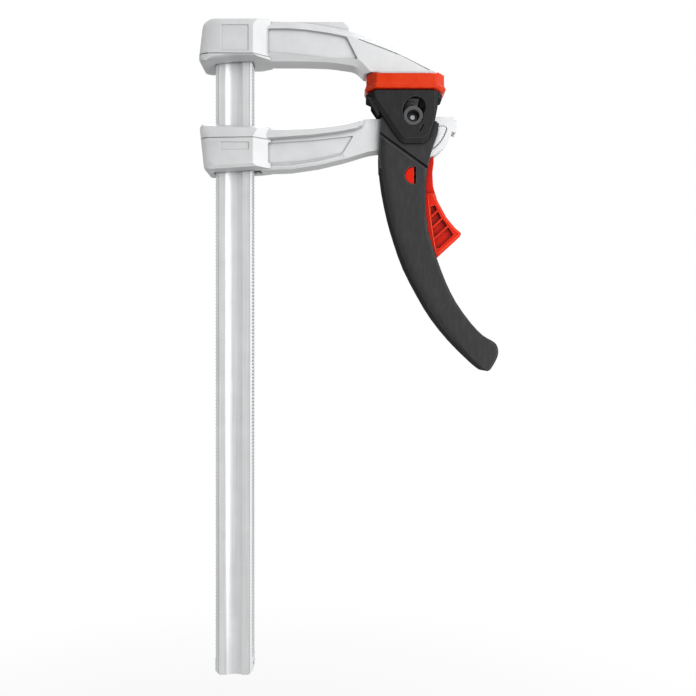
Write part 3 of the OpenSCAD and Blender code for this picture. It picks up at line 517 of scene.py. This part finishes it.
@dataclass(frozen=True)
class DieCastAlloy(Finish):
    """Die-cast light alloy, bead blasted and lacquered: satin grey with a fine grain, painted highlights on
    edges, painted shade below and in corners.
    """

    blast_mm: float = 0.7
    flow_mm: float = 11.0
    flow_share: float = 0.65
    flowed: str = "#D9DADB"
    parting_mm: float = 0.3
    # How many times higher than a blast dimple the die's parting line stands
    parting_rise: float = 4.0
    relief_mm: float = 0.012
    # Painted highlight on the edges
    rubbed: str = "#F0F1F2"
    highlight_share: float = 0.6
    # Painted shade on the undersides
    underside_shade: str = "#A4A5A6"
    underside_shade_share: float = 0.9
    # Rises of the normal at which an underside gets full painted shade and at which it gets none
    underside_shade_rise: tuple[float, float] = (-0.95, -0.7)
    # Painted shade in the inner corners
    corner: str = "#8C8E90"
    corner_shade_mm: float = 1.6
    metallic: float = 0.12
    roughness: tuple[float, float] = (0.36, 0.48)

    def shaded_undersides(self, tree: Tree) -> Socket:
        """Find the undersides, which get painted shade, by the way that they face."""
        return self.spread(tree, self.facing(tree, Axis.Z), 1, 0, self.underside_shade_rise)

    def build(self) -> bpy.types.Material:
        """Make the material.

        Returns:
            The finished material.
        """
        material, tree, place, rounded = self.start()
        # Blast dimples are about 0.1 mm across, drawn at 0.7 mm so that the grain shows
        dimples = self.grain(tree, place, self.blast_mm)
        # Metal that chilled as it flowed leaves faint clouds a centimetre wide
        clouds = self.grain(tree, place, self.flow_mm, 2)
        share = self.layered(tree, self.spread(tree, dimples, 0, 1 - self.flow_share),
                             self.spread(tree, clouds, 0, self.flow_share))
        top = self.tint(tree, share, self.base, self.flowed)
        # Painted shade darkens the undersides
        colour = self.overlaid(tree, self.masked(tree, self.shaded_undersides(tree), self.underside_shade_share), top, self.underside_shade)
        # Painted highlights lie on the edges, and painted shade in the inner corners
        lit_edge = self.masked(tree, self.highlight_edges(tree, rounded), self.highlight_share)
        colour = self.overlaid(tree, lit_edge, colour, self.rubbed)
        line = self.masked(tree, self.parting(tree, place, self.parting_mm), self.parting_rise)
        self.close(tree, {
            "Base Color": self.shaded(tree, colour, self.corner_shade_mm, self.corner),
            "Metallic": self.metallic,
            "Roughness": self.spread(tree, dimples, *self.roughness),
            "Normal": self.relief(tree, self.layered(tree, dimples, line), self.relief_mm, rounded),
        })
        return material


@dataclass(frozen=True)
class Seam:
    """A straight groove across a moulding, seen from the side."""

    start_mm: tuple[float, float]
    end_mm: tuple[float, float]
    width_mm: float


@dataclass(frozen=True)
class FilledNylon(Finish):
    """Glass-filled nylon from a spark-eroded mould: dull, finely pebbled, with painted highlights on its
    edges and painted shade in its corners.
    """

    # Colour of the painted edge highlight, which the paler fibre streaks also take
    rubbed: str = "#4A4A4B"
    # Cosines of the turns of the normal that get the painted edge highlight fully and not at all
    highlight_bend: tuple[float, float] = (0.88, 0.99)
    # How strong the painted edge highlight is in a pit and on top of a pebble
    highlight_shares: tuple[float, float] = (0.3, 0.9)
    pebble_mm: float = 0.9
    fibre_mm: float = 1.8
    fibre_stretch: float = 4.0
    fibre_share: float = 0.05
    fibre_range: tuple[float, float] = (0.45, 0.8)
    roughness: tuple[float, float] = (0.42, 0.56)
    parting_mm: float = 0.25
    # How many times higher than a pebble the mould's parting line and the face's pips stand
    parting_rise: float = 5.0
    pip_rise: float = 12.0
    pip_mm: float = 2.5
    relief_mm: float = 0.014
    ior: float = 1.5
    specular: float = 0.0
    # Painted shade in the corners and in the groove
    deep: str = "#040404"
    shade_mm: float = 2.5
    face_mm: Optional[float] = None
    seam: Optional[Seam] = None
    boss_mm: Optional[float] = None
    boss_fade_mm: float = 0.2
    boss_share: float = 0.22

    def seam_share(self, tree: Tree, place: Socket) -> Socket:
        """Find the bottom of the straight groove, which gets painted shade.

        Args:
            tree: the material's node tree.
            place: the place on the piece.

        Returns:
            One in the groove, else zero.
        """
        start, end = (Vector((x, 0, z)) * MM for x, z in (self.seam.start_mm, self.seam.end_mm))
        run = (end - start).normalized()
        across = Vector((-run.z, 0, run.x))
        reach = add_node(tree, "ShaderNodeVectorMath", {0: place, 1: tuple(across)}, operation="DOT_PRODUCT")
        size = self.apart(tree, reach.outputs["Value"], start.dot(across))
        half = self.seam.width_mm / 2 * MM
        # The groove's flanks take the last fifth of its half width and as much again
        return self.spread(tree, size, 1, 0, (0.8 * half, 1.2 * half))

    def build(self) -> bpy.types.Material:
        """Make the material.

        Returns:
            The finished material.
        """
        material, tree, place, rounded = self.start()
        # Spark erosion pits are about 0.1 mm, drawn at 0.9 mm so that the texture shows
        pebbles = self.grain(tree, place, self.pebble_mm, 4)
        # Glass fibres that reach the skin leave faint paler streaks some millimetres long
        fibres = self.grain(tree, self.along(tree, place, Axis.Z, self.fibre_stretch), self.fibre_mm, 2)
        lit_edge = self.masked(tree, self.highlight_edges(tree, rounded, self.highlight_bend),
                           self.spread(tree, pebbles, *self.highlight_shares))
        share = self.layered(tree, lit_edge, self.spread(tree, fibres, 0, self.fibre_share, self.fibre_range))
        line = self.masked(tree, self.parting(tree, place, self.parting_mm), self.parting_rise)
        height = self.layered(tree, pebbles, line)
        if self.face_mm is not None:
            pips = self.pad_grid(tree, place, self.face_mm, self.pip_mm)
            height = self.layered(tree, height, self.masked(tree, pips, self.pip_rise))
        colour = self.tint(tree, share, self.base, self.rubbed)
        if self.boss_mm is not None:
            # The boss round the pin is painted paler, in the highlight colour
            reach = (self.boss_mm * MM, (self.boss_mm + self.boss_fade_mm) * MM)
            boss = self.spread(tree, self.from_pivot(tree, place), self.boss_share, 0, reach)
            colour = self.overlaid(tree, boss, colour, self.rubbed)
        # Painted shade darkens the groove
        if self.seam is not None:
            colour = self.overlaid(tree, self.seam_share(tree, place), colour, self.deep)
        # Painted shade darkens the inner corners
        self.close(tree, {
            "Base Color": self.shaded(tree, colour, self.shade_mm, self.deep),
            "Roughness": self.spread(tree, pebbles, *self.roughness),
            "Specular IOR Level": self.specular,
            "IOR": self.ior,
            "Normal": self.relief(tree, height, self.relief_mm, rounded),
        })
        return material


@dataclass(frozen=True)
class GlossUrethane(Finish):
    """Cast polyurethane pad from a polished mould: deep, even red with a wet gloss."""

    deep: str = "#CC2C08"
    # Painted shade in the inner corners
    corner: str = "#A81404"
    corner_shade_mm: float = 1.6
    wave_mm: float = 6.0
    wave_share: float = 0.7
    scuff_mm: float = 0.6
    face_mm: float = 0.0
    pip_mm: float = 2.0
    # How many times higher than a wave of the skin the face's pips stand
    pip_rise: float = 5.0
    relief_mm: float = 0.05
    roughness: tuple[float, float] = (0.2, 0.34)
    ior: float = 1.5
    specular: float = 0.12

    def build(self) -> bpy.types.Material:
        """Make the material.

        Returns:
            The finished material.
        """
        material, tree, place, rounded = self.start()
        # A soft skin shrinks a little unevenly, in waves about 6 mm wide
        waves = self.grain(tree, place, self.wave_mm, 2)
        # Dust and fine scuffs, each about half a millimetre, dull the gloss in places
        scuffs = self.grain(tree, place, self.scuff_mm, 5)
        red = self.tint(tree, self.spread(tree, waves, 0, self.wave_share), self.base, self.deep)
        pips = self.pad_grid(tree, place, self.face_mm, self.pip_mm)
        height = self.layered(tree, waves, self.masked(tree, pips, self.pip_rise))
        # Painted shade darkens the inner corners
        self.close(tree, {
            "Base Color": self.shaded(tree, red, self.corner_shade_mm, self.corner),
            "Roughness": self.spread(tree, scuffs, *self.roughness),
            "IOR": self.ior,
            "Specular IOR Level": self.specular,
            "Normal": self.relief(tree, height, self.relief_mm, rounded),
        })
        return material


@dataclass(frozen=True)
class WorkedSteel(Finish):
    """Small steel or bronze pieces, cut, ground or heat treated: a base tone, bloom, tool marks and painted
    shade in the corners.
    """

    bloom: str = "#D4D6D9"
    metallic: float = 1.0
    roughness: tuple[float, float] = (0.25, 0.4)
    mark_mm: float = 0.5
    marks: Axis = Axis.Y
    stretch: float = 8.0
    cloud_mm: float = 3.5
    cloud_share: float = 0.5
    relief_mm: float = 0.005
    # Painted shade in the inner corners
    steel_shade: str = "#4A4A4B"
    steel_shade_mm: float = 1.0

    def build(self) -> bpy.types.Material:
        """Make the material.

        Returns:
            The finished material.
        """
        material, tree, place, rounded = self.start()
        # Tool marks are under 0.1 mm wide, drawn at 0.5 mm so that they show
        marks = self.grain(tree, self.along(tree, place, self.marks, self.stretch), self.mark_mm, 4)
        # Heat and oil leave clouds some millimetres wide
        clouds = self.grain(tree, place, self.cloud_mm)
        share = self.layered(tree, self.spread(tree, marks, 0, 1 - self.cloud_share),
                             self.spread(tree, clouds, 0, self.cloud_share))
        steel = self.tint(tree, share, self.base, self.bloom)
        # Painted shade darkens the inner corners
        self.close(tree, {
            "Base Color": self.shaded(tree, steel, self.steel_shade_mm, self.steel_shade),
            "Metallic": self.metallic,
            "Roughness": self.spread(tree, marks, *self.roughness),
            "Normal": self.relief(tree, marks, self.relief_mm, rounded),
        })
        return material


@dataclass(frozen=True)
class TurnedSteel(Finish):
    """Pin end faced on a lathe: bright, with rings round its centre."""

    ridge: str = "#9A9C9F"
    roughness: tuple[float, float] = (0.3, 0.42)
    feed_mm: float = 0.35
    relief_mm: float = 0.006

    def build(self) -> bpy.types.Material:
        """Make the material.

        Returns:
            The finished material.
        """
        material, tree, place, rounded = self.start()
        # A lathe's feed leaves rings about 0.1 mm apart, drawn at 0.35 mm so that they show
        turn = self.masked(tree, self.from_pivot(tree, place), 2 * math.pi / (self.feed_mm * MM))
        wave = add_node(tree, "ShaderNodeMath", {0: turn}, operation="SINE").outputs[0]
        ring = self.spread(tree, wave, 0, 1, (-1, 1))
        self.close(tree, {
            "Base Color": self.tint(tree, ring, self.base, self.ridge),
            "Metallic": 1.0,
            "Roughness": self.spread(tree, ring, *self.roughness, (0, 1)),
            "Normal": self.relief(tree, ring, self.relief_mm, rounded),
        })
        return material


@dataclass(frozen=True)
class StudioFloor:
    """Pale painted floor sheet: white to the lens and in reflections, with the clamp's soft shadow."""

    size: float = 6.0
    paint: str = "#E9E9E8"
    brush_mm: float = 30.0
    roughness: tuple[float, float] = (0.5, 0.56)
    # Share of white near the bar's foot, and the distances between which it rises to all
    glow_share: float = 0.8
    fade: tuple[float, float] = (0.12, 0.45)

    def foot(self, level: float) -> tuple[float, float, float]:
        """Find where the bar stands on the floor."""
        low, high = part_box("rail")
        return (low[0] + high[0]) / 2, 0.0, level

    def build(self, level: float) -> bpy.types.Object:
        """Make the floor under the bar's end.

        Args:
            level: height of the floor.

        Returns:
            The floor piece.
        """
        half = self.size / 2
        mesh = bpy.data.meshes.new("studio_floor")
        corners = [(-half, -half, level), (half, -half, level), (half, half, level), (-half, half, level)]
        mesh.from_pydata(corners, [], [(0, 1, 2, 3)])
        floor = bpy.data.objects.new("studio_floor", mesh)
        bpy.context.scene.collection.objects.link(floor)
        material = bpy.data.materials.new("painted_floor_sheet")
        material.use_nodes = True
        tree = material.node_tree
        tree.nodes.clear()
        # Brush marks about 30 mm wide keep the sheet from being one flat tone
        brush = add_node(tree, "ShaderNodeTexNoise", {"Scale": 1 / (self.brush_mm * MM)})
        tone = add_node(tree, "ShaderNodeMapRange", {"Value": brush.outputs[0], "To Min": self.roughness[0],
                                                     "To Max": self.roughness[1]})
        paint = add_node(tree, "ShaderNodeBsdfDiffuse", {"Color": linear(self.paint),
                                                         "Roughness": tone.outputs[0]})
        glow = add_node(tree, "ShaderNodeEmission", {"Strength": 1.0})
        seen = seen_ray(tree)
        # The shadow lies near the bar's end, and further off the sheet runs into the white room
        place = add_node(tree, "ShaderNodeTexCoord").outputs["Object"]
        spot = add_node(tree, "ShaderNodeVectorMath", {0: place, 1: self.foot(level)}, operation="DISTANCE")
        far = add_node(tree, "ShaderNodeMapRange", {"Value": spot.outputs["Value"], "From Min": self.fade[0],
                                                    "From Max": self.fade[1], "To Min": self.glow_share,
                                                    "To Max": 1.0}, interpolation_type="SMOOTHSTEP")
        share = add_node(tree, "ShaderNodeMath", {0: seen, 1: far.outputs[0]}, operation="MULTIPLY")
        mixed = add_node(tree, "ShaderNodeMixShader", {0: share.outputs[0], 1: paint.outputs[0],
                                                       2: glow.outputs[0]})
        add_node(tree, "ShaderNodeOutputMaterial", {"Surface": mixed.outputs[0]})
        mesh.materials.append(material)
        return floor


def seen_ray(tree: Tree) -> Socket:
    """Pick out the rays by which the lens, a gloss or a clear piece sees the background.

    Args:
        tree: the node tree of the floor or the world.

    Returns:
        One for such a ray, else zero.
    """
    path = add_node(tree, "ShaderNodeLightPath")
    gloss = add_node(tree, "ShaderNodeMath", {0: path.outputs["Is Camera Ray"],
                                              1: path.outputs["Is Glossy Ray"]}, operation="MAXIMUM")
    either = add_node(tree, "ShaderNodeMath", {0: gloss.outputs[0],
                                               1: path.outputs["Is Transmission Ray"]}, operation="MAXIMUM")
    return either.outputs[0]


@dataclass(frozen=True)
class Shading:
    """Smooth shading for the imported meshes: welded, then sharp only where a real edge is."""

    weld_mm: float = 0.002
    sharp_deg: float = 32.0
    even_weight: int = 50

    def group(self) -> Tree:
        """Make the node group that welds a mesh and marks its sharp edges.

        Returns:
            The geometry node group.
        """
        tree = bpy.data.node_groups.new("weld_and_smooth", "GeometryNodeTree")
        tree.interface.new_socket("Geometry", in_out="INPUT", socket_type="NodeSocketGeometry")
        tree.interface.new_socket("Geometry", in_out="OUTPUT", socket_type="NodeSocketGeometry")
        came = add_node(tree, "NodeGroupInput")
        merged = add_node(tree, "GeometryNodeMergeByDistance", {"Geometry": came.outputs[0],
                                                                "Distance": self.weld_mm * MM})
        bend = add_node(tree, "GeometryNodeInputMeshEdgeAngle")
        sharp = add_node(tree, "FunctionNodeCompare", {0: bend.outputs[0], 1: math.radians(self.sharp_deg)},
                         operation="GREATER_THAN")
        done = add_node(tree, "GeometryNodeSetMeshNormal", {"Mesh": merged.outputs[0], "Remove Custom": True,
                                                            "Edge Sharpness": sharp.outputs[0],
                                                            "Face Sharpness": False}, mode="SHARPNESS")
        add_node(tree, "NodeGroupOutput", {0: done.outputs[0]})
        return tree

    def apply(self, piece: bpy.types.Object, group: Tree) -> None:
        """Give a piece the welded, smooth shading.

        Args:
            piece: the CAD node.
            group: the node group from group().
        """
        weld = piece.modifiers.new("weld_and_smooth", "NODES")
        weld.node_group = group
        even = piece.modifiers.new("even_faces", "WEIGHTED_NORMAL")
        even.keep_sharp = True
        even.weight = self.even_weight


@dataclass
class SubAssembly:
    """A rigid group of pieces that one body carries."""

    body: str
    shading: Tree

    def dress(self, node: str, finish: Finish) -> None:
        """Give a CAD node its finish and smooth shading.

        Args:
            node: the node's name.
            finish: the finish that it gets.
        """
        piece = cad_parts[node]
        piece.data.materials.clear()
        piece.data.materials.append(finish.build())
        Shading().apply(piece, self.shading)
        LOG.info("%s: %s dressed as %s", self.body, node, finish.name)

    def add_piece(self, name: str, mesh: bpy.types.Mesh, finish: Finish) -> None:
        """Add a piece of this script's own that rides with the sub-assembly.

        Args:
            name: the piece's name.
            mesh: its finished mesh.
            finish: the finish that it gets.
        """
        mesh.materials.append(finish.build())
        piece = bpy.data.objects.new(name, mesh)
        bpy.context.scene.collection.objects.link(piece)
        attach(piece, self.body)
        LOG.info("%s: %s built in %s", self.body, name, finish.name)


@dataclass
class RailAndFixedJaw(SubAssembly):
    """The drawn bar with the fixed jaw, its two dowels and the slip-on pad."""

    # The bar's outer and inner edge along X, and the height of the pad's clamping face
    rail_edges_mm: tuple[float, float] = (-99.5, -80.0)
    cap_face_mm: float = 0.0
    # Roundness of the edges that casting and moulding leave
    jaw_edge_mm: float = 0.5
    cap_edge_mm: float = 0.6

    def build(self) -> None:
        """Dress the bar, the jaw, the dowels and the pad."""
        self.dress("rail", ColdDrawnSteel("cold_drawn_steel", Slot.BRIGHT_STEEL, "#C2C3C4",
                                          edges_mm=self.rail_edges_mm))
        self.dress("fixed_jaw", DieCastAlloy("die_cast_alloy_jaw", Slot.CAST_ALLOY, "#CECFD0",
                                             self.jaw_edge_mm))
        # Ground dowels: an even, clean silver
        self.dress("jaw_dowel_pins", WorkedSteel("ground_dowel_steel", Slot.PIN_STEEL, "#B4B6B9"))
        self.dress("fixed_jaw_cap", GlossUrethane("cast_polyurethane", Slot.RED_PAD, "#D93A10",
                                                  self.cap_edge_mm, face_mm=self.cap_face_mm))


@dataclass
class Arm(SubAssembly):
    """The sliding casting with its bite plates, toothed sector, rivets and bush."""

    # Roundness of the casting's edges, and the bush's powder grain of 0.1 mm, drawn coarser to show
    casting_edge_mm: float = 0.5
    powder_mm: float = 0.3

    def build(self) -> None:
        """Dress the casting and the steel and bronze pieces in it."""
        self.dress("sliding_arm", DieCastAlloy("die_cast_alloy_arm", Slot.CAST_ALLOY, "#CECFD0",
                                               self.casting_edge_mm))
        # Hardened in oil: dull dark grey with a faint brown bloom
        bite = WorkedSteel("hardened_bite_steel", Slot.DARK_STEEL, "#4B4C4F", bloom="#6C6A69",
                           roughness=(0.35, 0.55))
        self.dress("upper_grip_plate", bite)
        self.dress("lower_grip_plate", bite)
        # Ground pins: even, clean silver
        pin = WorkedSteel("ground_pin_steel", Slot.PIN_STEEL, "#A9ABAE")
        self.dress("grip_plate_pins", pin)
        # Case hardened and then cleaned: an even, light grey
        self.dress("ratchet_sector", WorkedSteel("case_hardened_sector", Slot.DARK_STEEL, "#A2A4A7",
                                                 bloom="#B4B5B7", roughness=(0.3, 0.5)))
        self.dress("sector_rivets", pin)
        # Pressed from powder and soaked in oil: matt yellow-brown without tool marks
        self.dress("pivot_bush", WorkedSteel("sintered_bronze", Slot.BUSH_BRONZE, "#9A7441", bloom="#B98E55",
                                             roughness=(0.4, 0.6), mark_mm=self.powder_mm, stretch=1.0))


@dataclass
class Lever(SubAssembly):
    """The squeeze handle with its pin, the pin's bright core and the trigger's spring."""

    length_mm: float = 132.0
    # Ends of the groove across the grip from the pivot, in shares of the lever's length
    groove: tuple[tuple[float, float], ...] = ((-0.129, -0.062), (0.056, -0.196))
    groove_mm: float = 0.7
    # Radius of the boss round the pin, and roundness of the edges of grip, pin core and spring wire
    boss_mm: float = 5.2
    grip_edge_mm: float = 0.5
    core_edge_mm: float = 0.1
    wire_edge_mm: float = 0.05
    # How far painted shade darkens the pin's bored end
    pin_shade_mm: float = 2.0

    def seam(self) -> Seam:
        """Lay the grip's groove out from the pivot.

        Returns:
            The groove, seen from the side.
        """
        start, end = ((PIVOT_MM[0] + x * self.length_mm, PIVOT_MM[1] + z * self.length_mm)
                      for x, z in self.groove)
        return Seam(start, end, self.groove_mm)

    def build(self) -> None:
        """Dress the handle, the pin, its core and the spring."""
        # The grip gets painted highlights on its edges and painted shade in its groove and corners
        self.dress("handle", FilledNylon("glass_filled_nylon_black", Slot.BLACK_PLASTIC, "#3B3B3C",
                                         self.grip_edge_mm, rubbed="#8C8D8F", seam=self.seam(),
                                         boss_mm=self.boss_mm))
        # Blackened in salts: near black with a weak satin gloss, and painted shade in the bore
        self.dress("pivot_pin", WorkedSteel("blackened_steel", Slot.BLACK_STEEL, "#0F1011", bloom="#1D1E20",
                                            metallic=0.4, roughness=(0.4, 0.55), steel_shade="#050505",
                                            steel_shade_mm=self.pin_shade_mm))
        self.dress("pivot_core", TurnedSteel("turned_steel", Slot.BRIGHT_STEEL, "#85878A",
                                             self.core_edge_mm))
        # Drawn and oiled wire: plain mid grey
        self.dress("trigger_spring", WorkedSteel("drawn_spring_wire", Slot.SPRING_STEEL, "#8E9195",
                                                 self.wire_edge_mm, bloom="#B9BCC0"))


@dataclass
class ReleaseTrigger(SubAssembly):
    """The red release lever with the pawl that it carries and the beads round its paddle."""

    hinge_mm: tuple[float, float] = (3.8, -44.4)
    length_mm: float = 42.0
    paddle_half_mm: float = 7.2
    bead_mm: float = 0.42
    bead_sink_mm: float = 0.22
    bead_in_mm: float = 1.15
    bead_sides: int = 10
    # Least share of a corner's lean, so that no corner pushes the bead's line far out
    least_lean: float = 0.5
    moulding_edge_mm: float = 0.4
    # Reach of the painted shade in the inner corners
    corner_shade_mm: float = 4.0
    # Outline of the flat that the bead borders, about the hinge, in shares of the trigger's length
    paddle: tuple[tuple[float, float], ...] = (
        (0.152, -0.200), (0.183, -0.514), (0.237, -0.857), (0.262, -0.975), (0.305, -1.000), (0.590, -0.738),
        (0.602, -0.698), (0.524, -0.631), (0.421, -0.505), (0.319, -0.319), (0.264, -0.200))

    def bead_path(self, depth: float) -> list[Vector]:
        """Draw the bead's middle line just inside the paddle's edge.

        Args:
            depth: place of the line across the clamp, in metres.

        Returns:
            The line's points, in order round the paddle.
        """
        hinge = Vector((self.hinge_mm[0], 0, self.hinge_mm[1])) * MM
        rim = [hinge + Vector((x, 0, z)) * self.length_mm * MM for x, z in self.paddle]
        path = []
        for before, here, after in in_threes(rim):
            first, second = (here - before).normalized(), (after - here).normalized()
            inward = Vector((-first.z - second.z, 0, first.x + second.x)).normalized()
            lean = max(inward.dot(Vector((-first.z, 0, first.x))), self.least_lean)
            path.append(here + inward * self.bead_in_mm * MM / lean + Vector((0, depth, 0)))
        return path

    def bead(self, name: str, depth: float) -> None:
        """Build a half-sunk round bead on one face of the paddle.

        Args:
            name: the piece's name.
            depth: place of its middle line across the clamp, in metres.
        """
        path = self.bead_path(depth)
        shape = bmesh.new()
        rings = []
        turns = [2 * math.pi * k / self.bead_sides for k in range(self.bead_sides)]
        for before, here, after in in_threes(path):
            run = (after - before).normalized()
            side = Vector((-run.z, 0, run.x))
            rings.append([shape.verts.new(here + (side * math.cos(a) + Vector((0, math.sin(a), 0)))
                                          * self.bead_mm * MM) for a in turns])
        for ring, following in zip(rings, rings[1:] + rings[:1]):
            for k in range(self.bead_sides):
                nxt = (k + 1) % self.bead_sides
                shape.faces.new((ring[k], ring[nxt], following[nxt], following[k]))
        bmesh.ops.recalc_face_normals(shape, faces=shape.faces)
        mesh = bpy.data.meshes.new(name)
        shape.to_mesh(mesh)
        shape.free()
        mesh.shade_smooth()
        # The bead is painted paler, as a painted highlight
        self.add_piece(name, mesh, self.red("glass_filled_nylon_red_highlight", "#F2482A"))

    def red(self, name: str, base: str) -> FilledNylon:
        """Give a red nylon finish.

        Args:
            name: the material's name.
            base: its sRGB hex colour.

        Returns:
            The finish.
        """
        # The edges get a painted highlight, and the inner corners painted shade
        return FilledNylon(name, Slot.RED_PLASTIC, base, self.moulding_edge_mm, rubbed="#FF6A42",
                           roughness=(0.3, 0.42), specular=0.1, deep="#7A0802", shade_mm=self.corner_shade_mm)

    def build(self) -> None:
        """Dress the trigger, the pawl and the pawl's pin, and add the beads."""
        self.dress("trigger", self.red("glass_filled_nylon_red", "#D41B04"))
        middle = (self.paddle_half_mm - self.bead_sink_mm) * MM
        self.bead("paddle_bead_front", -middle)
        self.bead("paddle_bead_back", middle)
        # Hardened right through: dark grey with a paler bloom
        self.dress("pawl", WorkedSteel("hardened_pawl_steel", Slot.DARK_STEEL, "#5A5B5F", bloom="#77787B"))
        # Ground as the other pins are: clean silver
        self.dress("pawl_pin", WorkedSteel("ground_pawl_pin", Slot.PIN_STEEL, "#A9ABAE"))


@dataclass
class MovingPad(SubAssembly):
    """The black saddle that the lever pushes up, with the steel strip that takes the push."""

    # Height of the clamping face, roundness of the moulding's edges and reach of the painted shade in its
    # corners
    face_mm: float = -0.25
    moulding_edge_mm: float = 0.4
    corner_shade_mm: float = 4.0

    def build(self) -> None:
        """Dress the saddle and its thrust strip."""
        # The saddle gets painted highlights on its edges and painted shade in its corners
        self.dress("pressure_plate", FilledNylon("glass_filled_nylon_pad", Slot.BLACK_PLASTIC, "#303031",
                                                 self.moulding_edge_mm, rubbed="#6E6F71",
                                                 shade_mm=self.corner_shade_mm, face_mm=self.face_mm))
        # Spring strip blued by heat: dark slate with long rolling marks, its dark tone also standing in for
        # the shade deep in the slot
        self.dress("thrust_plate", WorkedSteel("blued_spring_strip_in_shade", Slot.DARK_STEEL, "#37383B",
                                               bloom="#4E4F54", marks=Axis.X, stretch=20.0,
                                               roughness=(0.35, 0.5)))


@dataclass(frozen=True)
class SoftBox:
    """A lamp behind a diffusing cloth, aimed at the clamp."""

    name: str
    place: tuple[float, float, float]
    size: tuple[float, float]
    watts: float
    aim: tuple[float, float, float]

    def build(self) -> None:
        """Hang the lamp and turn it to its aim."""
        data = bpy.data.lights.new(self.name, "AREA")
        data.shape = "RECTANGLE"
        data.size, data.size_y = self.size
        data.energy = self.watts
        lamp = bpy.data.objects.new(self.name, data)
        lamp.location = self.place
        lamp.rotation_euler = (Vector(self.aim) - lamp.location).to_track_quat("-Z", "Y").to_euler()
        lamp.visible_camera = False
        bpy.context.scene.collection.objects.link(lamp)


@dataclass(frozen=True)
class Studio:
    """White room, soft lamps and a camera that stands level and square to the clamp."""

    camera_place: tuple[float, float, float] = (-0.030, -0.400, -0.1337)
    lens_mm: float = 39.0
    sensor_mm: float = 36.0
    # Strength of the white room where it only lights the clamp
    fill: float = 0.33
    # The floor lies clear of the lever with the arm at the foot of the bar
    floor_drop: float = 0.105
    lamps: tuple[SoftBox, ...] = (
        SoftBox("tall_right", (0.17, -0.24, -0.10), (0.30, 0.76), 1.68, (-0.05, 0.0, -0.10)),
        SoftBox("top_front", (0.05, -0.20, 0.50), (0.50, 0.50), 0.6, (-0.03, 0.0, 0.0)),
        SoftBox("high_back", (-0.03, 0.36, 0.36), (0.50, 0.50), 2.2, (-0.03, 0.0, -0.12)),
    )

    def build_world(self) -> None:
        """Make the room white where it is seen and dimmer where it only lights."""
        world = bpy.data.worlds.new("white_room")
        bpy.context.scene.world = world
        world.use_nodes = True
        tree = world.node_tree
        tree.nodes.clear()
        level = add_node(tree, "ShaderNodeMapRange", {"Value": seen_ray(tree), "To Min": self.fill,
                                                      "To Max": 1.0})
        light = add_node(tree, "ShaderNodeBackground", {"Color": (1.0, 1.0, 1.0, 1.0),
                                                        "Strength": level.outputs[0]})
        add_node(tree, "ShaderNodeOutputWorld", {"Surface": light.outputs[0]})

    def build_camera(self) -> None:
        """Stand the camera level with the middle of the clamp, looking along Y."""
        data = bpy.data.cameras.new("camera")
        data.lens = self.lens_mm
        data.sensor_width = self.sensor_mm
        camera = bpy.data.objects.new("camera", data)
        camera.location = self.camera_place
        camera.rotation_euler = (math.radians(90), 0, 0)
        bpy.context.scene.collection.objects.link(camera)
        bpy.context.scene.camera = camera

    def build(self) -> None:
        """Make the world, the lamps, the floor and the camera."""
        self.build_world()
        for lamp in self.lamps:
            lamp.build()
        StudioFloor().build(CAD_BOX[0][2] - self.floor_drop)
        self.build_camera()
        scene = bpy.context.scene
        scene.view_settings.view_transform = "Standard"
        LOG.info("studio: %d lamps, floor and camera", len(self.lamps))


def clear_start_file() -> None:
    """Take away the objects that Blender starts with."""
    for name in ("Cube", "Light", "Camera"):
        spare = bpy.data.objects.get(name)
        if spare is not None:
            bpy.data.objects.remove(spare)


def main() -> None:
    """Dress the five sub-assemblies in order and set the studio up."""
    logging.basicConfig(level=logging.INFO, format="%(name)s: %(message)s")
    clear_start_file()
    shading = Shading().group()
    for assembly in (
        RailAndFixedJaw("rail_and_fixed_jaw", shading),
        Arm("arm", shading),
        Lever("lever", shading),
        ReleaseTrigger("release_trigger", shading),
        MovingPad("moving_pad", shading),
    ):
        assembly.build()
    Studio().build()


if __name__ == "__main__":
    main()
